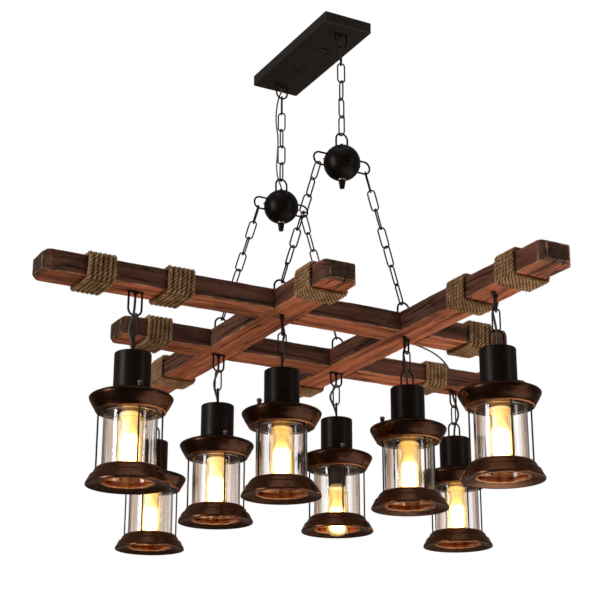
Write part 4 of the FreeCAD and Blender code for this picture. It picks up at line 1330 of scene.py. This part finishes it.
def make_eyes():
    hooks, eyes = Eyes(), Eyes()
    for row in (-1, 1):
        hooks.add(BACKWARD * row * hook_y + UP * plate_low.z, -UP, ACROSS, hook_height)
        for side_sign in (-1, 1):
            foot = Vector((side_sign * half_crossing, row * hook_y, frame_top))
            eyes.add(foot, UP, ACROSS, frame_eye_height)
    for number, lantern in lanterns.items():
        eyes.add(lantern_places[number].xy.to_3d() + UP * frame_under, -UP, turned(ACROSS, lantern.eye),
                 lantern_eye_height + lantern.drop * MM)
    put("plate_hooks", hooks.mesh(), "ceiling_plate", nodes=("canopy_hooks",))
    put("frame_wire_eyes", eyes.mesh(), "timber_frame", nodes=("frame_eyes",))


def make_balls():
    eyes = Eyes()
    rounds, washers = [], []
    sunk = math.sqrt(ball_radius ** 2 - eye_bend ** 2) - ball_overlap
    foot = -ball_radius - washer_thickness
    tip = foot - plug_height
    half_circle = [(ball_radius * math.sin(a), -ball_radius * math.cos(a), 0)
                   for a in (math.pi * k / 40 for k in range(41))]
    washer = softened([(plug_core, foot + washer_sunk, 0), (washer_diameter / 2, foot + washer_sunk, 1),
                       (washer_diameter / 2, foot, 1), (plug_core, foot, 0)], washer_soft)
    plug = softened([(plug_core, foot, 0), (plug_top_diameter / 2, foot, 1),
                     (plug_top_diameter / 2, foot - plug_collar, 1), (plug_tip_diameter / 2, tip, 1),
                     (plug_hole_mouth, tip, 1), (plug_hole_floor, tip + plug_hole_depth, 0),
                     (plug_core, tip + plug_hole_depth, 0)], plug_soft)
    for sign in (-1, 1):
        centre = Vector((0, sign * hook_y, ball_z))
        for along, side in ((UP, ACROSS), (ACROSS, UP), (-ACROSS, UP)):
            eyes.add(centre, along, side, ball_radius + ball_eye_height, sunk,
                     ball_radius - nipple_height * nipple_sunk_share)
        rounds += [lathed(half_circle, centre), lathed(plug, centre, 40)]
        washers.append(lathed(washer, centre, 40))
    put("suspension_ball_shells", joined(rounds), "timber_frame", ball_black,
        ("suspension_balls",))
    put("ball_washers", joined(washers), "timber_frame", bright_steel)
    put("ball_wire_eyes", eyes.mesh(nipple_finish=nut_steel), "timber_frame",
        nodes=("ball_fittings",))


# Ceiling plate

def rounded_box_rings(half_x, half_y, levels, radius):
    """Rings of a rounded rectangle at (height, inset) levels."""
    rings = []
    for height, inset in levels:
        reach = max(canopy_least_corner, radius - inset)
        corner = max(inset, radius)
        rings.append([Vector((x_sign * (half_x - corner) + reach * math.cos(angle),
                              y_sign * (half_y - corner) + reach * math.sin(angle), height))
                      for x_sign, y_sign, angle in rounded_corners(6)])
    return rings


def plate_shell():
    """The folded steel plate, its rim rubbed."""
    half_x, half_y = plate_high.x, plate_high.y
    depth, wall, fold = -plate_low.z, canopy_wall, canopy_fold_radius
    levels = [(0, canopy_rim_inset), (-canopy_rim_depth, 0), (-depth + fold, 0)]
    levels += [(-depth + fold - fold * math.sin(a), fold - fold * math.cos(a)) for a in arc((22, 45, 68, 90))]
    outer = rounded_box_rings(half_x, half_y, levels, canopy_corner_radius)
    inner_levels = [(-depth + wall, canopy_inner_soft), (-depth + wall + canopy_inner_soft, 0), (0, 0)]
    rings = outer + rounded_box_rings(half_x - wall, half_y - wall, inner_levels, canopy_inner_radius)
    count = len(rings[0])
    corners = [c for ring in rings for c in ring]
    faces = []
    for k in range(len(rings)):
        if k != len(outer) - 1:
            faces += band(k * count, (k + 1) % len(rings) * count, count)
    under = range((len(outer) - 1) * count, len(outer) * count)
    faces += [tuple(under), tuple(i + count for i in under)[::-1]]
    rim = [c.z < -depth + fold * 1.2 and min(abs(abs(c.x) - half_x), abs(abs(c.y) - half_y)) < fold
           for c in corners]
    mesh = outward(mesh_of(corners, faces, wear=[float(rubbed) for rubbed in rim]))
    mesh.set_sharp_from_angle(angle=math.radians(35))
    return mesh


def make_ceiling_plate():
    put("ceiling_plate_shell", plate_shell(), "ceiling_plate", plate_black, ("canopy",))
    under = plate_low.z
    wide, neck = cap_nut_diameter / 2, stud_diameter / 2
    seat = under + cap_nut_overlap
    dome = [(near_axis, seat, 0), (wide, seat, 0), (wide, under - cap_nut_skirt, 1)]
    dome += [(wide * 0.95 * math.cos(a), under - cap_nut_height * (1 + 2 * math.sin(a)) / 3, 0)
             for a in arc((0, 15, 30, 45, 60, 75, 89))]
    stud = [(near_axis, under, 0), (neck, under, 0), (neck, -stud_top_depth, 0),
            (near_axis, -stud_top_depth, 0)]
    nuts = []
    for sign in (-1, 1):
        at = BACKWARD * (sign * stud_spread / 2)
        nuts += [lathed(dome, at, 36), lathed(stud, at, 20)]
    put("plate_cap_nuts", joined(nuts), "ceiling_plate", eye_bronze, ("canopy_nuts",))
    for name, finish in (("crossbar", zinc_steel), ("terminal_block", white_plastic)):
        carried = frame["nodes"][name]
        carried.data.materials.clear()
        carried.data.materials.append(finish)


# Lanterns, their heights above their rim

cap_foot = ring_height + rod_length
cup_foot = cap_foot + cap_height
cup_top = cup_foot + cup_height


def hood_lines():
    """Outlines of the cup, the cap and the base ring."""
    outer = cup_diameter / 2
    flat = outer - cup_edge
    shoulder = cup_top - cup_edge
    cup = [(tube_diameter / 2, cup_top, 0), (flat, cup_top, 0.8), (outer, shoulder, 0.8),
           (outer, cup_foot, 0), (outer - sheet, cup_foot, 0), (outer - sheet, shoulder, 0),
           (flat, cup_top - sheet, 0), (tube_diameter / 2, cup_top - sheet, 0)]
    seat = outer + sheet
    radius = cap_diameter / 2
    cap = [(seat - cap_seat_width, cup_foot, 0), (seat, cup_foot, 0.3)]
    cap += [(r * radius, cup_foot - z * cap_height, wear) for r, z, wear in cap_outline_shares]
    cap.append((cap_mouth_diameter / 2, cap_foot, 0))
    radius = ring_diameter / 2
    inside = glass_diameter / 2 + glass_side_gap
    # Painted lamp light: the high wears at the ring's top edge, its inner lip and its inner wall paint golden
    # gleams as rubbed bronze. Painted shade: the wears below zero darken its underside.
    ring = [(inside, ring_height, 1.3)]
    ring += [(r * radius, ring_height - z * ring_height, wear) for r, z, wear in ring_outline_shares]
    ring += [(radius - ring_rim, 0, 0.6), (radius - 2 * ring_rim, ring_recess * 0.1, -0.5),
             (inside + ring_rim, ring_recess * 0.95, -0.5), (inside, ring_recess, 1.2),
             (glass_diameter / 2 - glass_wall - seat_lip, ring_recess, 2.4)]
    return (softened(cup, cup_soft), softened(thickened(cap, sheet), cap_soft),
            softened(thickened(ring, sheet, 2.0), ring_soft))


def rod_lines(foot, nut):
    """Four straight rods from the cap's foot down into the base ring."""
    lines = []
    for k in range(4):
        at = foot + turned(ACROSS, nut + 90 * k) * rod_circle / 2
        top, low = at + UP * (cap_foot + rod_into_cap), at + UP * (ring_height - rod_into_ring)
        lines.append([top.lerp(low, i / 6) for i in range(7)])
    return lines


def thumb_nut(foot, nut):
    """The small domed nut that clamps the cap, on its shank."""
    at = foot + turned(ACROSS, nut) * rod_circle / 2
    seat = cup_foot - 0.2 * cap_height
    top = cup_foot - 0.13 * cap_height + nut_height * 0.9
    radius = nut_diameter / 2
    low = top - nut_side_low
    line = [(near_axis, seat, 0), (radius * 0.8, seat, 0), (radius * 0.8, low - nut_chamfer, 0),
            (radius, low, 1), (radius, top - nut_side_high, 1), (radius * 0.6, top, 0.6), (near_axis, top, 0)]
    return lathed(softened(line, nut_soft), at, 28)


def lamp_profile(holder_foot):
    """The lamp's glass from its neck to its tip, smooth."""
    radius = bulb_diameter / 2
    line = [(bulb_neck_diameter / 2, holder_foot + bulb_neck_overlap)]
    line += [(r * radius, holder_foot - z * bulb_length) for r, z in bulb_outline_shares]
    smooth = []
    for i in range(len(line) - 1):
        before = Vector(line[max(0, i - 1)])
        start, end = Vector(line[i]), Vector(line[i + 1])
        after = Vector(line[min(len(line) - 1, i + 2)])
        for t in (0.0, 0.25, 0.5, 0.75):
            spot = 0.5 * (2 * start + (end - before) * t + (2 * before - 5 * start + 4 * end - after) * t ** 2
                          + (3 * start - before - 3 * end + after) * t ** 3)
            smooth.append((min(max(spot.x, near_axis), radius), spot.y))
    smooth.append((near_axis, line[-1][1]))
    return smooth


def make_lamp(foot, holder_foot, body):
    """Screw cap, thin outer glass, and the lit column with its flared stem."""
    neck = holder_foot + thread_start / 2
    screw = [(near_axis, neck, 0), (thread_crest, neck, 0)]
    for k in range(6):
        z = holder_foot + thread_start + thread_pitch * k
        screw += [(thread_crest, z, 0.5), (thread_root, z + thread_pitch / 2, 0)]
    screw += [(r, holder_foot + z, 0) for r, z in screw_end]
    put(f"{body}_lamp_cap", lathed(screw, foot, 40), body, bright_steel)
    profile = lamp_profile(holder_foot)
    inner = [(max(near_axis / 2, r - bulb_wall), z + (bulb_wall if i > len(profile) / 2 else 0))
             for i, (r, z) in enumerate(profile)]
    shell = [(r, z, 0) for r, z in profile + inner[::-1]]
    put(f"{body}_lamp_glass", lathed(shell, foot, 48), body, lamp_glass, (f"{body}_bulb",))
    top = holder_foot - column_inset
    reach = bulb_length - 2 * column_inset
    column = [(r * bulb_diameter / 2, top - z * reach, 0) for r, z in column_outline_shares]
    mesh = lathed(softened(column, column_soft, 4), foot, 40)
    low = foot.z + top - reach
    add_values(mesh, glow=[min(1.0, max(0.0, 1 - (corner.co.z - low) / reach)) for corner in mesh.vertices])
    put(f"{body}_lamp_light", mesh, body, lamp_light)


def make_holder(foot, holder_top, body):
    """The grooved lamp holder and the tube that carries it."""
    holder_foot = holder_top - holder_height
    radius, neck = holder_diameter / 2, tube_diameter / 2
    bore, groove = radius - holder_wall, radius - holder_groove
    roof = holder_foot + screw_cap_height + holder_wall
    low_rim, groove_low, groove_high, high_rim = (holder_foot + height for height in holder_groove_heights)
    holder = softened([
        (near_axis, holder_top, 0), (radius, holder_top, 0.5), (radius, high_rim, 0.2),
        (groove, groove_high, 0), (groove, groove_low, 0), (radius, low_rim, 0.2),
        (radius, holder_foot, 0.5), (bore, holder_foot, 0.3), (bore, roof, 0), (near_axis, roof, 0)],
        holder_soft)
    stem = [(near_axis, holder_top - holder_overlap, 0), (neck, holder_top - holder_overlap, 0),
            (neck, cup_top - sheet, 0), (near_axis, cup_top - sheet, 0)]
    put(f"{body}_lamp_holder", joined([lathed(holder, foot, 48), lathed(stem, foot, 32)]), body,
        holder_black)


def make_lantern(number):
    lantern = lanterns[number]
    foot = lantern_places[number]
    body = f"lantern_{number}"
    cup_line, cap_line, ring_line = hood_lines()
    put(f"{body}_cup", lathed(cup_line, foot, 80), body, cup_black, (f"{body}_housing",))
    put(f"{body}_cap", lathed(cap_line, foot, 80), body, cap_bronze)
    put(f"{body}_thumb_nut", thumb_nut(foot, lantern.nut), body, nut_steel)
    put(f"{body}_base_ring", lathed(ring_line, foot, 80), body, ring_bronze, (f"{body}_cage",))
    put(f"{body}_rods", swept(rod_lines(foot, lantern.nut), rod_diameter, 14, rod_black), body)
    loops = Eyes()
    loops.add(foot + UP * cup_top, UP, turned(ACROSS, lantern.loop), lantern_loop_height)
    put(f"{body}_loop", loops.mesh(eye_wire * swing_wire_share), body)
    low, high = (corner.z - foot.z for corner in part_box(f"{body}_glass"))
    outer = glass_diameter / 2
    tube = softened([(outer - glass_wall, low, 0), (outer, low, 0), (outer, high, 0),
                     (outer - glass_wall, high, 0)], glass_soft)
    put(f"{body}_glass_tube", lathed(tube, foot, 96, glass_ripple, number), body, tube_glass,
        (f"{body}_glass",))
    holder_top = cup_top - sheet - tube_length - lantern.lamp_drop * MM
    make_holder(foot, holder_top, body)
    make_lamp(foot, holder_top - holder_height, body)


# Wires that pass the joints

def sheathed(name, points, diameter, finish, nodes=()):
    """A length of wire between two bodies, from one end's place to the other's; it rides on neither."""
    wire = put(name, swept([points], diameter, 12, finish), None, nodes=nodes)
    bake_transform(wire)


def cut_at(points, heights):
    """A falling line of points cut at heights; neighbours share the cut point."""
    runs, run = [], [points[0]]
    heights = list(heights)
    for a, b in zip(points, points[1:]):
        while heights and b.z < heights[0] < a.z:
            cut = a.lerp(b, (a.z - heights.pop(0)) / (a.z - b.z))
            runs.append(run + [cut])
            run = [cut]
        run.append(b)
    return runs + [run]


def make_leads():
    joints = {j["name"]: j for j in frame["record"]["behaviour"]["joints"]}
    top = frame_under - eye_strip_thickness - nipple_height
    for number, lantern in lanterns.items():
        body = f"lantern_{number}"
        point = lantern_places[number].xy.to_3d()
        eye_z, loop_z = (joints[f"{body}_{end}_swing"]["pos_m"][2] for end in ("eye", "loop"))
        middle = (eye_z + loop_z) / 2
        foot = lantern_places[number].z + cup_top + eye_strip_thickness + nipple_height
        beside_eye, beside_loop = (
            point + turned(ACROSS, lantern.link + lean / 2 + 90 * lantern.side) * lead_pass
            for lean in ((turn - lantern.link + 90) % 180 - 90 for turn in (lantern.eye, lantern.loop)))
        out = point + turned(ACROSS, lantern.bulge) * lead_pass * lantern.share
        route = [
            point + UP * top, point + UP * (top - lead_diameter), beside_eye + UP * eye_z,
            out + UP * middle, beside_loop + UP * loop_z,
            point + UP * (foot + lead_diameter), point + UP * foot,
        ]
        upper, lower = cut_at(spline_points(route), (middle,))
        eye_bends = (eye_z + lead_bend_short, eye_z - lead_bend_long)
        loop_bends = (loop_z + lead_bend_long, loop_z - lead_bend_short)
        for run, line, bodies, heights in (("upper", upper, ("timber_frame", f"{body}_link"), eye_bends),
                                           ("lower", lower, (f"{body}_link", body), loop_bends)):
            sheathed(f"{body}_{run}_lead", line, lead_diameter, black_sheath,
                     ("lantern_leads",) if number == 1 and run == "upper" else ())


def make_supply_cord():
    far = BACKWARD * hook_y
    top = plate_low.z - eye_strip_thickness - nipple_height
    foot = ball_z + ball_radius + nipple_height / 2
    route = [(0.0, 0.0, top), (0.0, 0.0, top - 2 * supply_diameter)]
    route += [(x, y, hook_bend_z + link_contact - link_step * steps) for x, y, steps in supply_steps]
    route += [(-5.0, 6.0, ball_eye_z), (0.0, 0.0, foot + 2 * supply_diameter), (0.0, 0.0, foot)]
    points = spline_points([far + Vector((x * MM, y * MM, z)) for x, y, z in route], 10)
    pivots = (hook_bend_z, hook_bend_z - link_step - contact_gap, ball_eye_z)
    cuts = [(a + b) / 2 for a, b in zip(pivots, pivots[1:])]
    for k, (run, pivot) in enumerate(zip(cut_at(points, cuts), pivots)):
        sheathed(f"supply_cord_run_{k + 1}", run, supply_diameter, smoky_sheath,
                 () if k else ("supply_cord",))


# Light, background and floor

def studio_world():
    """White behind the object; what metal and glass mirror is dimmer at the front and below."""
    world = bpy.data.worlds.new("studio")
    bpy.context.scene.world = world
    world.use_nodes = True
    world.node_tree.nodes.clear()
    nodes = Nodes(world.node_tree)
    way = nodes.shade("TexCoord", output="Generated")
    to_front = nodes.shade("VectorMath", {0: way, 1: (-0.485, -0.874, 0.0)}, "Value", operation="DOT_PRODUCT")
    front = nodes.ramp(to_front, 0.25, 0.8, 1.0, 0.3)
    high = nodes.ramp(nodes.shade("SeparateXYZ", {0: way}, "Z"), -0.6, 0.5, 0.1, 0.22)
    mirror, plain, white = (nodes.shade("Background", {"Color": (1, 1, 1), "Strength": strength})
                            for strength in (nodes.times(front, high), 0.32, 1.0))
    ray = nodes.add("ShaderNodeLightPath").outputs
    mirrored = nodes.math("GREATER_THAN", ray["Glossy Depth"], 0.5)
    seen = nodes.shade("MixShader", {0: mirrored, 1: plain, 2: mirror})
    straight = nodes.math("LESS_THAN", nodes.plus(ray["Glossy Depth"], ray["Diffuse Depth"]), 0.5)
    clear = nodes.times(ray["Is Transmission Ray"], straight)
    through = nodes.math("MAXIMUM", ray["Is Camera Ray"], clear)
    nodes.add("ShaderNodeOutputWorld", {
        "Surface": nodes.shade("MixShader", {0: through, 1: seen, 2: white})})


def make_lights():
    """Softboxes that face the middle of the object: place, width, height, power and colour."""
    for name, place, wide, tall, power, colour in (
            ("left softbox", (-4.4, -0.3, -0.6), 1.05, 3.3, 150, (1, 1, 1)),
            ("right softbox", (1.7, -2.5, -0.5), 0.4, 2.2, 12, (1, 1, 1)),
            ("top softbox", (-0.4, -0.8, 1.9), 2.4, 2.4, 16, (1, 1, 1)),
            ("low fill", (0.6, -0.3, -2.35), 3.2, 3.2, 92, (1.0, 0.95, 0.9))):
        light = bpy.data.lights.new(name, "AREA")
        light.shape = "RECTANGLE"
        light.size = wide
        light.size_y = tall
        light.energy = power
        light.color = colour
        lamp = shown(name, light)
        lamp.location = place
        lamp.rotation_euler = (lit_place - Vector(place)).to_track_quat("-Z", "Y").to_euler()


def make_floor():
    made, nodes, shader = material("Pale floor")
    seen = nodes.shade("LightPath", output="Is Camera Ray")
    nodes.fill(shader, {
        "Base Color": nodes.blend(seen, (0.12, 0.1, 0.09), (0.8, 0.8, 0.79)), "Roughness": 0.8,
        "Emission Color": (1, 1, 1), "Emission Strength": nodes.times(seen, 0.5),
        "Normal": nodes.effect(mottle, Scale=3.0, Depth=0.0002)["Normal"]})
    corners = [(x * floor_reach, y * floor_reach, cad_low.z - floor_drop)
               for x, y in ((-1, -1), (1, -1), (1, 1), (-1, 1))]
    floor = shown("floor", mesh_of(corners, [(0, 1, 2, 3)], False))
    floor.data.materials.append(made)


def main():
    make_timbers()
    make_ropes()
    make_chains()
    make_eyes()
    make_balls()
    make_ceiling_plate()
    for number in lanterns:
        make_lantern(number)
    make_leads()
    make_supply_cord()
    studio_world()
    make_lights()
    make_floor()
    bpy.context.scene.view_settings.view_transform = "Standard"


main()
